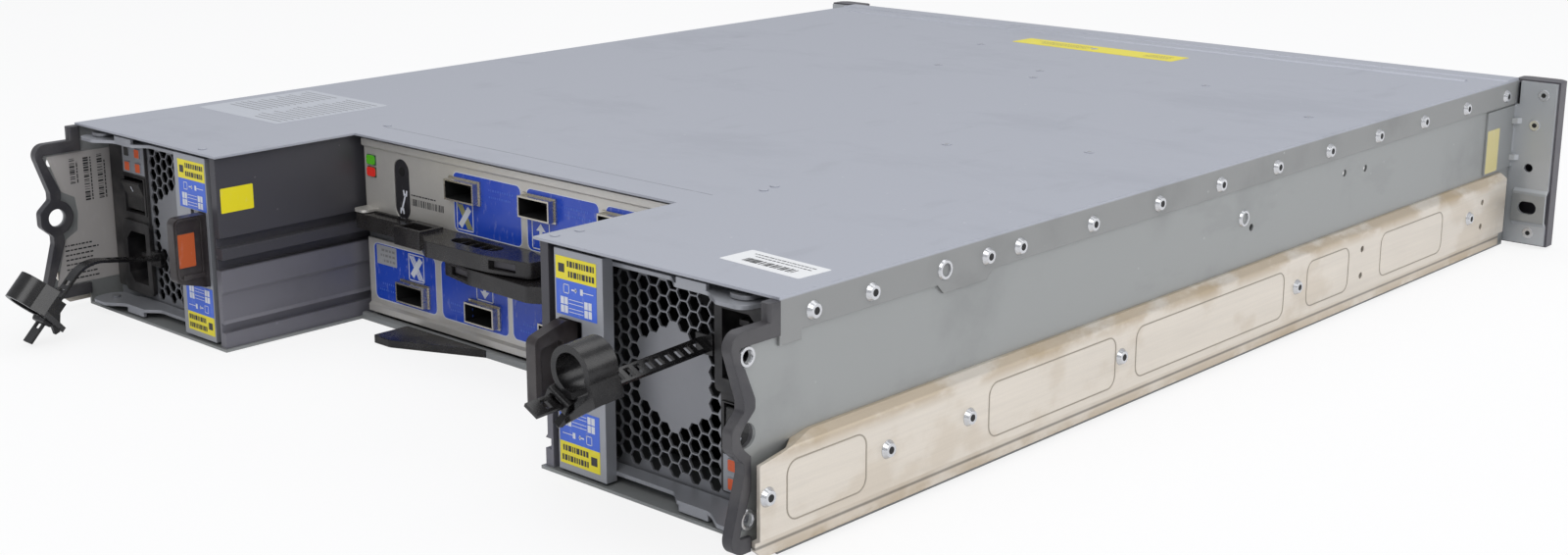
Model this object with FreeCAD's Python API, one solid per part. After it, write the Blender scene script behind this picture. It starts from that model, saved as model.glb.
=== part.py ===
import FreeCAD, Part
import math
import os

from FreeCAD import Placement, Rotation, Vector

# Rack-mount disk shelf, 2U high and 19 inches wide: a folded chassis whose rear has two arms
# that hold the power supplies, with two stacked I/O modules in the notch between them.
# Front (drive side) faces -Y, rear faces +Y, +Z is up. Origin: centre of the chassis underside.
# All sizes are in millimetres.

# ---------------------------------------------------------------- chassis
rack_width = 483.0          # over the front ears
ear_width = 20.0            # each front ear beyond the body
shelf_height = 87.0
cover_depth = 560.0
arm_width = 118.5           # each rear arm, from the body's side to the notch
notch_depth = 72.2
steel = 1.2                 # pan sheet
cover_steel = 1.0           # cover sheet
sill_height = 3.3           # folded lip of the floor along the notch
guard_near = 15.0           # cord guard along the sill, from the centre plane
guard_far = 70.0
guard_reach = 19.0
guard_taper = 12.0
flange_drop = 12.5          # cover side flange, from the top
tab_drop = 3.5              # flange tabs below the flange
rear_tab_length = 10.5
mid_tab_start = 81.0        # second tab, from the cover's rear edge
mid_tab_length = 32.0
front_lip_drop = 7.0
front_hem = 11.0            # folded double edge along the cover's front
front_hem_rise = 0.6
bead_from_front = 24.0
bead_length = 410.0
bead_radius = 2.5
bead_height = 0.8
vent_radius = 1.6           # small holes in the side walls
vent_places = ((379.0, 20.5), (399.0, 21.4), (297.5, 31.0))   # from the rear edge and the top

# rear ear plates, part of the pan's side walls
ear_reach = 22.5            # past the cover's rear edge
ear_top_gap = 9.6           # from the shelf's top to the ear's upper edge
ear_foot = 8.0
ear_root = 40.0             # how far the ear plate runs into the wall
waist_depth = 7.8           # how far the waist steps in from the reach
nose_depth = 5.6            # how far the nose round the hole steps out again
waist_lift = 2.0            # middle of the waist above mid height
waist_hole_radius = 4.2
nut_pitch = 54.4            # the two rivet nuts in each ear plate
nut_from_ear_end = 8.0

# black edge trim on the ear plates
trim_out = 2.3
trim_in = 2.9
trim_side = 1.5
trim_boss_radius = 8.1
trim_post = 5.5
trim_rail_gap = 0.4

# zinc side rails
rail_depth = 5.0
rail_steel = 1.5
rail_top = 40.0
rail_step = 9.0             # height of the step groove
rail_bottom = 2.5
rail_step_in = 2.2
rail_front_inset = 12.0
rail_rear_reach = 13.5
rail_ramp_length = 28.0
rail_ramp_drop = 5.0
rail_corner_cut = 5.0
rail_hole_radius = 1.5
rail_hole_heights = (17.2, 29.7)
rail_hole_places = (168.5, 40.0)                # from the front edge
rail_screw_places = (-10.0, 50.2, 95.6, 192.8, 331.3, 505.0)   # from the rear edge

# front ears, end caps and rack holes
rack_hole_inset = 8.95      # from the ear's outer edge
rack_hole_height = 21.3
rack_slot_length = 9.5
rack_slot_width = 6.5
ear_steel = 2.0
ear_side_length = 32.0
ear_tool_hole_radius = 2.2
bridge_height = 19.0
bridge_rise = 2.5
gusset_size = 3.5
cap_depth = 11.5
cap_wall = 2.0
cap_overhang = 1.0
button_inset = 9.0          # shelf-number button, from the ear's outer edge
button_height = 30.0
button_radius = 2.4
button_fit = 0.3
button_stand = 0.8

# drive bays
drive_count = 24
drive_side_gap = 3.3        # between the walls and the first and last drive
midplane_from_front = 188.0
board_thickness = 2.4
guide_thickness = 1.6
guide_rib_height = 3.0
guide_rib_width = 1.6
guide_lead_in = 8.0
window_length = 20.0        # cooling windows of the midplane board
window_height_high = 9.0
window_height_low = 7.0
receptacle_rise = 12.5      # drive receptacles, from mid height
receptacle_drop = 23.5
receptacle_depth = 7.0
receptacle_shelf = 4.0
receptacle_half = 3.0
module_plug_offset = 60.0   # the modules' receptacles, from the centre plane
module_plug_half = 22.0
module_plug_level = 21.0    # from the line between the two modules
module_plug_depth = 9.0

# bay walls beside the notch
wall_sheet = 1.2
wall_rib_depth = 4.4
wall_gap = 1.0              # from the notch edge to the wall's ribs
wall_panel_step = 1.4
wall_ridge = 2.4
wall_channel = 4.6
wall_rear_gap = 1.2
wall_step_high = 17.0       # lower panel's step, below mid height
wall_step_low = 30.0
wall_step_depth = 1.2
wall_slope = 1.5
wall_groove = 4.0

# ---------------------------------------------------------------- power supplies
psu_clearance = 1.4         # beside the bay wall
psu_side_gap = 3.8          # beside the side wall
psu_floor_gap = 0.15        # above the floor and below the cover
psu_inset = 14.0            # face plate behind the cover's rear edge
psu_steel = 1.0
plate_margin = 0.8          # face plate inside the case's edges
fan_gap = 1.15              # between the fan and the case
fan_depth = 25.0
fan_wall = 2.0
fan_from_inner = 48.0       # fan's centre, from the case's inner side
fan_plenum = 24.0           # between face plate and fan
fan_blades = 7
hub_radius = 15.4
strut_thickness = 3.0
hex_flats = 5.1
hex_web = 0.6
hex_edge = 3.0              # blank margin above and below the grille
grille_from_inner = 10.0    # perforated field, from the case's sides
grille_from_outer = 33.5
panel_from_outer = 1.0
panel_margin = 8.5          # switch panel, from the shelf's top and underside
panel_thickness = 1.4
column_from_outer = 22.0    # switch, LEDs and inlet share this line
inlet_width = 22.0
inlet_share = 0.4714        # of the switch panel's height
rocker_width = 19.0
rocker_share = 0.2571
rocker_gap_share = 0.0571
led_width = 19.0
led_share = 0.1929
led_gap_share = 0.015
inlet_depth = 20.0
inlet_rim = 0.8
socket_inset_x = 2.8
socket_inset_z = 4.3
blade_spread = 7.0
blade_half = 2.2
fit_gap = 0.1               # of a moulded part in its cut-out
handle_steel = 1.5
handle_strip_width = 25.0
handle_strip_inset = 1.0    # rear face behind the cover's rear edge
handle_strip_margin = 1.0
handle_return = 5.0
handle_arm_height = 5.0     # middle of the lower arm; the upper one mirrors it
handle_arm_gap = 1.0        # between the face plate and the arms
pivot_from_outer = 12.5
pivot_inset = 4.0
pivot_radius = 2.0
cam_reach = 9.0             # round the pivot
lip_drop = 3.4
running_clearance = 0.05
lug_gap = 0.3
lug_half = 5.0
window_inset = 1.8          # latch window, from the strip's inner edge
window_width = 12.0
window_below = 16.0         # from mid height
window_above = 17.0
latch_reach = 16.0          # behind the handle strip
latch_thickness = 5.0
latch_gap = 0.3

# cord-retention straps and their clamps
strap_from_outer = 38.5
strap_root = 27.0           # height of the strap's root
strap_width = 6.4
strap_thickness = 1.3
strap_twist = 28.0          # how far the drawn strap is twisted, in degrees
rung_pitch = 4.5
rung_slot = 2.4
rung_margin = 1.2
strap_seat = 0.5            # gap behind the strap's end, inside its anchor
anchor_half = 4.0
anchor_depth = 3.0
clamp_radius = 9.0
clamp_bore = 6.6
clamp_length = 12.5
clamp_rise = 2.6            # the ring's underside above the strap
clamp_gap = 70.0            # open angle of the ring
clamp_clearance = 0.25
clamp_wall = 1.8
droop_crest_reach = 25.0    # the drooping strap's bend, behind the cover's rear edge
droop_crest_rise = 6.2
droop_bend = 16.0
droop_tip_reach = 54.5
droop_tip_height = 1.8
droop_clamp_place = 25.0    # clamp's distance past the bend
drawn_tip_reach = 66.0      # the drawn strap's tip
drawn_tip_rise = 4.5
drawn_clamp_place = 61.0    # clamp's distance from the root

# ---------------------------------------------------------------- I/O modules
io_lift = 1.0               # the line between the modules above mid height
io_side_gap = 1.5
io_cover_gap = 0.8
module_gap = 0.5            # between a module and the divider
shelf_gap = 1.2             # divider sheet between the two I/O modules
io_front_gap = 23.6         # module's front edge behind the midplane board
io_face_inset = 3.8         # faceplate in front of the notch edge
io_steel = 1.0
io_panel_rise = 4.6         # faceplate's lower edge above the case's
port_from_pivot_side = 72.0
port_from_far_side = 34.0
port_count = 3
port_width = 19.4
port_height = 9.2
port_drop = 14.2            # port's middle below the case's top
port_reach = 4.2
port_depth = 24.0
port_wall = 0.8
port_lip = 0.7
port_fit = 0.1
service_slot_inset = 27.0
service_slot_length = 27.4
service_slot_width = 11.0
service_slot_rise = 14.5    # its middle above the faceplate's lower edge
light_pipe_inset = 5.5
light_pipe_drops = (15.5, 10.0)
light_pipe_width = 6.0
light_pipe_height = 4.4
light_pipe_fit = 0.5
lever_pivot_inset = 4.0
lever_gap = 0.4             # between faceplate and lever, and between the levers
lever_height = 7.0
lever_arm_depth = 8.0
lever_grip_from_pivot = 63.5
lever_tip_from_pivot = 126.5
lever_grip_depth = 20.5
lever_tip_depth = 14.5
lever_latch_travel = 2.0
lever_end_radius = 3.8
lever_pin_radius = 1.5
lever_frame_length = 18.0   # open frame between arm and grip
lever_frame_wall = 1.8
latch_room_start = 8.0      # latch button, from the lever's tip
latch_room_length = 14.0

# ---------------------------------------------------------------- fasteners
screw_head_radius = 3.4
screw_head_height = 1.6
screw_recess_radius = 1.2
screw_pitch = 46.5
screw_first = 12.5
screw_row_count = 10
rear_screw_places = (109.6, 45.7, 16.2)         # last screws of the row, from the rear edge
tab_nut_from_rear = 84.8
wall_nut_from_rear = 290.5
wall_nut_drop = 25.8        # from the top
flange_row_drop = 7.5
nut_radius = 3.8
nut_bore = 2.4
nut_height = 0.9
rail_screw_height = 24.0

# ---------------------------------------------------------------- derived places
body_width = rack_width - 2 * ear_width
notch_width = body_width - 2 * arm_width
front = -cover_depth / 2
rear = cover_depth / 2
side = body_width / 2
wall_outer = side - cover_steel
wall_inner = wall_outer - steel
mid_height = shelf_height / 2
cover_low = shelf_height - cover_steel
notch_half = notch_width / 2
notch_edge = rear - notch_depth
ear_end = rear + ear_reach
ear_top = shelf_height - ear_top_gap
waist_height = mid_height + waist_lift
waist_hole_height = waist_height - 1.0
waist_y = ear_end - nut_from_ear_end
ear_nut_heights = (mid_height - nut_pitch / 2, mid_height + nut_pitch / 2)
rack_hole_x = rack_width / 2 - rack_hole_inset
ear_front = front - cover_steel - ear_steel
midplane = front + midplane_from_front
drive_row_half = wall_inner - drive_side_gap
drive_pitch = 2 * drive_row_half / drive_count
bay_wall_face = notch_half + wall_gap
bay_wall_back = bay_wall_face + wall_rib_depth + wall_sheet
psu_inner = bay_wall_back + psu_clearance
psu_outer = wall_inner - psu_side_gap
psu_middle = (psu_inner + psu_outer) / 2
psu_face = rear - psu_inset
psu_bottom = steel + psu_floor_gap
psu_top = shelf_height - psu_bottom
psu_height = psu_top - psu_bottom
psu_front = midplane + board_thickness + 10.0
fan_size = psu_height - 2 * (psu_steel + fan_gap)
fan_bore = fan_size - 2 * fan_wall
fan_centre = psu_inner + fan_from_inner
grille_inner = psu_inner + grille_from_inner
grille_outer = psu_outer - grille_from_outer
panel_inner = grille_outer + 1.2
panel_outer = psu_outer - panel_from_outer
panel_low = panel_margin
panel_high = shelf_height - panel_margin
panel_height = panel_high - panel_low
column_centre = psu_outer - column_from_outer
inlet_height = inlet_share * panel_height
inlet_centre = panel_low + inlet_height / 2
rocker_height = rocker_share * panel_height
rocker_centre = inlet_centre + inlet_height / 2 + rocker_gap_share * panel_height + rocker_height / 2
led_height = led_share * panel_height
led_centre = rocker_centre + rocker_height / 2 + led_gap_share * panel_height + led_height / 2
pivot_from_centre = psu_outer - pivot_from_outer
pivot_y = rear - pivot_inset
strip_inner = psu_inner + 2.0
strip_outer = strip_inner + handle_strip_width
strip_rear = rear - handle_strip_inset
window_low = mid_height - window_below
window_high = mid_height + window_above
window_inner = strip_inner + window_inset
strap_offset = psu_outer - strap_from_outer
ring_height = clamp_radius + clamp_rise
io_mid = mid_height + io_lift
io_width = notch_width - 2 * io_side_gap
io_half = io_width / 2
io_face = notch_edge - io_face_inset
io_front = midplane + board_thickness + io_front_gap
io_bottom = io_mid + shelf_gap / 2 + module_gap
io_top = cover_low - io_cover_gap
io_panel_bottom = io_bottom + io_panel_rise
io_panel_top = io_top - 0.5
port_level = io_top - port_drop
port_pitch = (io_width - port_from_pivot_side - port_from_far_side) / (port_count - 1)
port_first = io_half - port_from_pivot_side
light_pipe_place = io_half - light_pipe_inset
light_pipe_levels = tuple(io_top - drop for drop in light_pipe_drops)
lever_pivot = io_half - lever_pivot_inset
lever_bottom = io_mid + lever_gap
lever_top = lever_bottom + lever_height
lever_grip_end = lever_pivot - lever_grip_from_pivot
lever_tip = lever_pivot - lever_tip_from_pivot


# ---------------------------------------------------------------- helpers
def box(x0, x1, y0, y1, z0, z1):
    """Box between two corners."""
    return Part.makeBox(x1 - x0, y1 - y0, z1 - z0, Vector(x0, y0, z0))


def place(axis, u, v, w):
    """Point (u, v) of an outline lying square to an axis, at height w along that axis."""
    if axis == "X":
        return Vector(w, u, v)
    if axis == "Y":
        return Vector(u, w, v)
    return Vector(u, v, w)


def outline(axis, level, corners):
    """Closed wire through (u, v) corners; a third number rounds that corner by its radius."""
    points = [place(axis, c[0], c[1], level) for c in corners]
    radii = [c[2] if len(c) > 2 else 0.0 for c in corners]
    count = len(points)
    stretches = []
    for i, point in enumerate(points):
        back = (points[i - 1] - point).normalize()
        ahead = (points[(i + 1) % count] - point).normalize()
        if not radii[i]:
            stretches.append((point, None, point))
            continue
        half = back.getAngle(ahead) / 2
        reach = radii[i] / math.tan(half)
        bisector = (back + ahead).normalize()
        centre = point + bisector * (radii[i] / math.sin(half))
        stretches.append((point + back * reach, centre - bisector * radii[i], point + ahead * reach))
    edges = []
    for i, (start, middle, end) in enumerate(stretches):
        if middle:
            edges.append(Part.Arc(start, middle, end).toShape())
        following = stretches[(i + 1) % count][0]
        if (following - end).Length > 1e-6:
            edges.append(Part.makeLine(end, following))
    return Part.Wire(edges)


def prism(axis, low, high, corners):
    """Solid made by drawing an outline from low to high along an axis."""
    return Part.Face(outline(axis, low, corners)).extrude(place(axis, 0, 0, high - low))


def rod(axis, u, v, low, high, radius):
    """Cylinder along an axis, centred on (u, v), from low to high."""
    return Part.makeCylinder(radius, high - low, place(axis, u, v, low), place(axis, 0, 0, 1))


def slot(axis, u, v, low, high, length, width):
    """Round-ended slot cutter, long along the first outline direction."""
    run = (length - width) / 2
    r = width / 2
    block = prism(axis, low, high, [(u - run, v - r), (u + run, v - r), (u + run, v + r), (u - run, v + r)])
    return block.fuse([rod(axis, u - run, v, low, high, r), rod(axis, u + run, v, low, high, r)])


def mirrored(shape):
    """The same piece for the other side of the shelf's centre plane."""
    return shape.mirror(Vector(0, 0, 0), Vector(1, 0, 0))


def turned(shape, level):
    """The same piece turned half a turn about the depth axis at a height."""
    half_turn = Placement(Vector(0, 0, 0), Rotation(Vector(0, 1, 0), 180), Vector(0, 0, level))
    copy = shape.copy()
    copy.Placement = half_turn.multiply(copy.Placement)
    return copy


def fused(first, *others):
    """One solid from touching pieces, with merged faces."""
    return first.fuse(list(others)).removeSplitter()


def save(name, *solids):
    """Check the solids of one sub-part and write them as parts/NAME.step."""
    pieces = [solid for shape in solids for solid in shape.Solids]
    for piece in pieces:
        if not piece.isValid() or piece.Volume <= 0:
            raise ValueError("bad solid in " + name)
    shape = pieces[0] if len(pieces) == 1 else Part.Compound(pieces)
    shape.exportStep("parts/" + name + ".step")


# ---------------------------------------------------------------- chassis pieces
def ear_outline(grow=0.0):
    """Ear plate edge in (y, z), grown outwards for the trim that follows it."""
    start = rear - ear_root
    reach = ear_end + grow
    waist = ear_end - waist_depth + grow
    nose = waist + nose_depth
    corner = max(3.0 + grow, 1.0)
    return [
        (start, ear_foot - grow),
        (reach, ear_foot - grow, corner),
        (waist, waist_height - 13.0, 3.0),
        (waist, waist_height - 9.5, 2.0),
        (nose, waist_height - 4.5, 3.0),
        (nose, waist_height + 2.5, 3.0),
        (waist, waist_height + 7.5, 2.0),
        (waist, waist_height + 11.0, 3.0),
        (reach, ear_top + grow, corner),
        (start, ear_top + grow),
    ]


def side_wall():
    """Left side wall of the pan with its shaped rear ear plate."""
    corner_start = rear - ear_root / 2
    wall = box(wall_inner, wall_outer, front, corner_start, 0, cover_low)
    corner = box(wall_inner, wall_outer, corner_start, rear, 0, cover_low)
    ear = prism("X", wall_inner, wall_outer, ear_outline())
    wall = fused(wall, corner, ear)
    holes = [rod("X", waist_y, waist_hole_height, wall_inner - 1, wall_outer + 1, waist_hole_radius)]
    for height in ear_nut_heights:
        holes.append(rod("X", waist_y, height, wall_inner - 1, wall_outer + 1, nut_bore))
    for back, drop in vent_places:
        holes.append(rod("X", rear - back, shelf_height - drop, wall_inner - 1, wall_outer + 1, vent_radius))
    return wall.cut(holes)


def chassis_pan():
    """Floor with the rear notch and its sill, and the two side walls, folded from one sheet."""
    floor = prism("Z", 0, steel, [
        (-wall_outer, front), (wall_outer, front), (wall_outer, rear), (bay_wall_face, rear),
        (bay_wall_face, notch_edge), (-bay_wall_face, notch_edge), (-bay_wall_face, rear),
        (-wall_outer, rear),
    ])
    sill = prism("X", -bay_wall_face, bay_wall_face, [
        (notch_edge - 2 * steel, 0), (notch_edge, 0, steel), (notch_edge, sill_height, steel),
        (notch_edge - 2 * steel, sill_height)])
    wall = side_wall()
    return fused(floor, sill, wall, mirrored(wall))


def top_cover():
    """Flat cover with the rear notch, side flanges with tabs, a front hem and a stiffening bead."""
    plate = prism("Z", cover_low, shelf_height, [
        (-side, front), (side, front), (side, rear), (notch_half, rear), (notch_half, notch_edge),
        (-notch_half, notch_edge), (-notch_half, rear), (-side, rear),
    ])
    flange_low = shelf_height - flange_drop
    tab_low = flange_low - tab_drop
    tab_end = rear - mid_tab_start
    flange = prism("X", wall_outer, side, [
        (front, cover_low), (front, flange_low), (tab_end - mid_tab_length, flange_low),
        (tab_end - mid_tab_length + tab_drop, tab_low), (tab_end - tab_drop, tab_low),
        (tab_end, flange_low), (rear - rear_tab_length, flange_low),
        (rear - rear_tab_length, tab_low), (rear, tab_low), (rear, cover_low),
    ])
    lip = box(-side, side, front - cover_steel, front, shelf_height - front_lip_drop, shelf_height)
    hem_end = front + front_hem
    hem = prism("X", -side, side, [
        (front - cover_steel, cover_low), (hem_end + front_hem_rise, cover_low),
        (hem_end + front_hem_rise, shelf_height), (hem_end, shelf_height + front_hem_rise),
        (front - cover_steel, shelf_height + front_hem_rise)])
    bead = rod("X", front + bead_from_front, shelf_height + bead_height - bead_radius,
               -bead_length / 2, bead_length / 2, bead_radius)
    bead = bead.common(box(-side, side, front, rear, cover_low + cover_steel / 2,
                           shelf_height + 2 * bead_height))
    return fused(plate, flange, mirrored(flange), lip, hem, bead)


def bay_wall():
    """Left bay wall: a sheet with moulded panels and channels along the notch side."""
    face = bay_wall_face
    back = bay_wall_back
    deep = back - wall_sheet
    shallow = face + wall_panel_step
    low = steel
    ridge = wall_ridge
    channel = wall_ridge + wall_channel
    step_high = mid_height - wall_step_high
    step_low = mid_height - wall_step_low
    step = shallow + wall_step_depth
    groove_top = step_low - wall_slope
    groove_low = groove_top - wall_groove
    profile = [
        (back, low), (back, cover_low), (shallow, cover_low), (shallow, mid_height + channel),
        (deep, mid_height + channel), (deep, mid_height + ridge), (face, mid_height + ridge),
        (face, mid_height - ridge), (deep, mid_height - ridge), (deep, mid_height - channel),
        (shallow, mid_height - channel), (shallow, step_high), (step, step_high - wall_slope),
        (step, step_low), (shallow, groove_top), (deep, groove_top),
        (deep, groove_low), (shallow, groove_low), (shallow, low),
    ]
    return prism("Y", midplane + board_thickness, rear - wall_rear_gap, profile)


def side_rail():
    """Left zinc rail: drawn flat band with a bent top, a step groove and a lower lip."""
    contact = wall_outer
    face = wall_outer + rail_depth
    step = face - rail_step_in
    t = rail_steel
    y0 = front + rail_front_inset
    y1 = rear + rail_rear_reach
    section = [
        (contact, rail_top), (contact, rail_top - t), (face - t, rail_top - t - 1.0),
        (face - t, rail_step + t), (step - t, rail_step), (step - t, rail_bottom),
        (step, rail_bottom), (step, rail_step - 0.6), (face, rail_step + 0.6),
        (face, rail_top - 2.5, 1.5), (contact + 1.5, rail_top),
    ]
    rail = prism("Y", y0, y1, section)
    ramp = prism("X", contact - 1, face + 1, [
        (y1 - rail_ramp_length, rail_top), (y1 + 1, rail_top - rail_ramp_drop), (y1 + 1, rail_top + 5),
        (y1 - rail_ramp_length, rail_top + 5),
    ])
    corner = prism("X", contact - 1, face + 1, [
        (y1 - rail_corner_cut, rail_bottom - 1), (y1 + 1, rail_bottom - 1),
        (y1 + 1, rail_bottom + rail_corner_cut - 1),
    ])
    rail = rail.cut([ramp, corner])
    holes = [rod("X", rear - back, rail_screw_height, contact, face + 1, nut_bore)
             for back in rail_screw_places]
    holes += [rod("X", front + ahead, z, contact, face + 1, rail_hole_radius)
              for ahead in rail_hole_places for z in rail_hole_heights]
    return rail.cut(holes)


def edge_trim():
    """Left black trim: a channel clipped over the ear plate's edge, with a ring at its waist."""
    low = wall_inner - trim_side
    high = wall_outer + trim_side
    outer = prism("X", low, high, ear_outline(trim_out))
    inner = prism("X", low - 1, high + 1, ear_outline(-trim_in))
    post = prism("Z", ear_top, cover_low, [
        (low, rear), (high, rear), (high, rear + trim_post, trim_side), (low, rear + trim_post, trim_side)])
    ring = rod("X", waist_y, waist_hole_height, low, wall_inner, trim_boss_radius)
    trim = fused(outer.cut(inner), post)
    keep = box(low - 1, high + 1, rear, ear_end + 2 * trim_out, 0, shelf_height)
    trim = trim.common(keep)
    plate = prism("X", wall_inner, wall_outer, ear_outline())
    bore = rod("X", waist_y, waist_hole_height, low - 1, high + 1, waist_hole_radius)
    rail_room = box(wall_outer, high + 1, rear - 1, rear + rail_rear_reach + trim_rail_gap, 0,
                    rail_top + trim_rail_gap)
    nut_rooms = [rod("X", waist_y, height, wall_outer - 1, high + 1, nut_radius + fit_gap)
                 for height in ear_nut_heights]
    trim = fused(trim, ring).cut([plate, bore, rail_room] + nut_rooms)
    return max(trim.Solids, key=lambda solid: solid.Volume)


def ear_bracket():
    """Left front ear: rack flange with a raised slot bridge, side plate and bend gussets."""
    edge = rack_width / 2
    y0 = ear_front
    y1 = ear_front + ear_steel
    low = 2.0
    high = shelf_height - 1.0
    flange = prism("Y", y0, y1, [(wall_inner, low), (edge, low), (edge, high), (wall_inner, high)])
    hole_x = rack_hole_x
    bottom = rack_hole_height - bridge_height / 2
    top = rack_hole_height + bridge_height / 2
    flange = flange.cut(box(side + 3, edge + 1, y0 - 1, y1 + 1, bottom, top))
    bridge = prism("X", side + 3, edge, [
        (y0, bottom), (y1, bottom), (y1 + bridge_rise, bottom + bridge_rise),
        (y1 + bridge_rise, top - bridge_rise), (y1, top), (y0, top),
        (y0 + bridge_rise, top - bridge_rise), (y0 + bridge_rise, bottom + bridge_rise),
    ])
    side_plate = box(wall_outer, side, y1, front + ear_side_length, rail_top + 1.5,
                     shelf_height - flange_drop - 1.0)
    gussets = [prism("Z", z, z + 3.0, [(side, y1), (side + gusset_size, y1), (side, y1 + gusset_size)])
               for z in (rail_top + 5.0, shelf_height - 23.0)]
    ear = fused(flange, bridge, side_plate, *gussets)
    cuts = [slot("Y", hole_x, rack_hole_height, y0 - 1, y1 + bridge_rise + 1, rack_slot_length,
                 rack_slot_width),
            rod("Y", hole_x - 2, mid_height - 1.9, y0 - 1, y1 + 1, ear_tool_hole_radius),
            box(side - 0.2, side + 1.6, y0 - 1, y1 + 1, shelf_height - flange_drop - 0.5, high + 1)]
    return ear.cut(cuts)


def end_cap():
    """Left front end cap: a tapered shell closed at the front, clipped over the rack ear."""
    inner = wall_inner
    outer = rack_width / 2 + cap_overhang
    y1 = ear_front
    y0 = y1 - cap_depth
    low = 1.2
    high = shelf_height - 0.2
    shell = prism("Z", low, high, [
        (inner, y1), (inner, y0 + 1.5, 1.0), (inner + 3, y0, 2.0), (outer - 4, y0, 3.0),
        (outer, y0 + 3.5, 2.0), (outer, y1),
    ])
    hollow = box(inner + cap_wall, outer - cap_wall, y0 + cap_wall + 0.5, y1 + 1, low + cap_wall,
                 high - cap_wall)
    return shell.cut(hollow)


def drive_guides():
    """Lower and upper guide plates with a rib between each pair of drives."""
    y0 = front + 2.0
    y1 = midplane - 8.0
    floor = steel + guide_thickness
    top = floor + guide_rib_height
    r = guide_rib_width / 2
    plate = box(-drive_row_half - 1, drive_row_half + 1, y0, y1, steel, floor)
    ribs = []
    for i in range(drive_count + 1):
        x = i * drive_pitch - drive_row_half
        ribs.append(prism("X", x - r, x + r, [
            (y0, floor), (y0 + guide_lead_in, top), (y1, top), (y1, floor)]))
    lower = fused(plate, *ribs)
    upper = lower.mirror(Vector(0, 0, (cover_low + steel) / 2), Vector(0, 0, 1))
    return lower, upper


def midplane_board():
    """Circuit board behind the drives, with cooling windows between the connectors."""
    back = midplane + board_thickness
    board = box(-wall_inner, wall_inner, midplane, back, steel, cover_low)
    windows = []
    for i in range(0, drive_count, 2):
        x = (i + 1) * drive_pitch - drive_row_half
        for z, height in ((cover_low - 16.0, window_height_high), (steel + 10.8, window_height_low)):
            windows.append(slot("Y", x, z, midplane - 1, back + 1, window_length, height))
    return board.cut(windows)


def midplane_connectors():
    """Drive receptacles on the board's front and module receptacles on its rear."""
    solids = []
    y0 = midplane - receptacle_depth
    y1 = midplane - receptacle_shelf
    for i in range(drive_count):
        x = (i + 0.5) * drive_pitch - drive_row_half
        left = x - receptacle_half
        right = x + receptacle_half
        solids.append(prism("Z", mid_height - receptacle_drop, mid_height + receptacle_rise, [
            (left, midplane), (left, y0), (left + 2, y0), (left + 2, y1), (right, y1), (right, midplane)]))
    back = midplane + board_thickness
    for x in (-module_plug_offset, module_plug_offset):
        for z in (io_mid - module_plug_level, io_mid + module_plug_level):
            solids.append(box(x - module_plug_half, x + module_plug_half, back, back + module_plug_depth,
                              z - 8, z + 8))
    for x in (-psu_middle, psu_middle):
        solids.append(box(x - 26, x + 26, back, back + 6.0, mid_height - 7, mid_height + 7))
    return solids


def io_divider():
    """Sheet between the two I/O modules, carried by the bay walls' ridges."""
    edge = bay_wall_face
    return box(-edge, edge, midplane + board_thickness, io_face - 12.0, io_mid - shelf_gap / 2,
               io_mid + shelf_gap / 2)


def notch_guard():
    """Black moulded cord guide under the I/O modules, clipped to the floor's sill at one end."""
    reach = notch_edge + guard_reach
    return prism("Z", 0, sill_height, [
        (guard_near, notch_edge), (guard_far, notch_edge), (guard_far, reach, 1.5),
        (guard_far - guard_taper, reach, 6.0)])


# ---------------------------------------------------------------- power supply pieces, left one
def psu_case():
    """Sheet case, open at the rear for the face plate, with a blade connector at its front."""
    case = box(psu_inner, psu_outer, psu_front, psu_face - psu_steel, psu_bottom, psu_top)
    room = box(psu_inner + psu_steel, psu_outer - psu_steel, psu_front + psu_steel, psu_face,
               psu_bottom + psu_steel, psu_top - psu_steel)
    connector = box(psu_middle - 24, psu_middle + 24, psu_front - 3.5, psu_front, mid_height - 5,
                    mid_height + 5)
    return fused(case.cut(room), connector)


def psu_board():
    """Converter board on stand-offs, with its transformer, capacitors and heat sinks."""
    floor = psu_bottom + psu_steel
    low = floor + 4.0
    high = low + board_thickness
    y0 = psu_front + 8.0
    y1 = psu_face - fan_plenum - fan_depth - 12.0
    x0 = psu_inner + psu_steel + 2.0
    x1 = psu_outer - psu_steel - 2.0
    middle = (x0 + x1) / 2
    sink_height = 0.6 * psu_height
    board = box(x0, x1, y0, y1, low, high)
    transformer = box(middle - 22, middle + 22, y0 + 70, y0 + 112, high, high + 0.5 * psu_height)
    fins = [box(x, x + 3, y0 + 20, y1 - 20, high, high + sink_height) for x in (x0 + 6, x1 - 9)]
    cans = [rod("Z", middle + dx, y0 + dy, high, high + 0.4 * psu_height, 12.0)
            for dx in (-15, 15) for dy in (25, 150)]
    posts = [rod("Z", x, y, floor, low, 3.0) for x in (x0 + 6, x1 - 6) for y in (y0 + 6, y1 - 6)]
    return fused(board, transformer, *fins, *cans, *posts)


def hexagon(x, z, flats):
    """Corners of a flat-topped hexagon."""
    r = flats / math.sqrt(3)
    turns = [math.radians(60 * k) for k in range(6)]
    return [(x + r * math.cos(turn), z + r * math.sin(turn)) for turn in turns]


def hexagon_centres():
    """Centres of the grille's holes: a honeycomb field that leaves the fan hub blank."""
    row = hex_flats + hex_web
    column = row * math.sqrt(3) / 2
    margin = hex_flats / math.sqrt(3)
    centres = []
    columns = int((grille_outer - grille_inner - 2 * margin) / column)
    for i in range(columns + 1):
        x = grille_outer - margin - i * column
        shift = row / 2 if i % 2 else 0.0
        room = psu_height / 2 - hex_edge - hex_flats / 2
        rows = int((room - shift) / row)
        below = int((room + shift) / row)
        for k in range(-below, rows + 1):
            z = mid_height + k * row + shift
            if math.hypot(x - fan_centre, z - mid_height) > hub_radius + hex_flats / 2:
                centres.append((x, z))
    return centres


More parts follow.
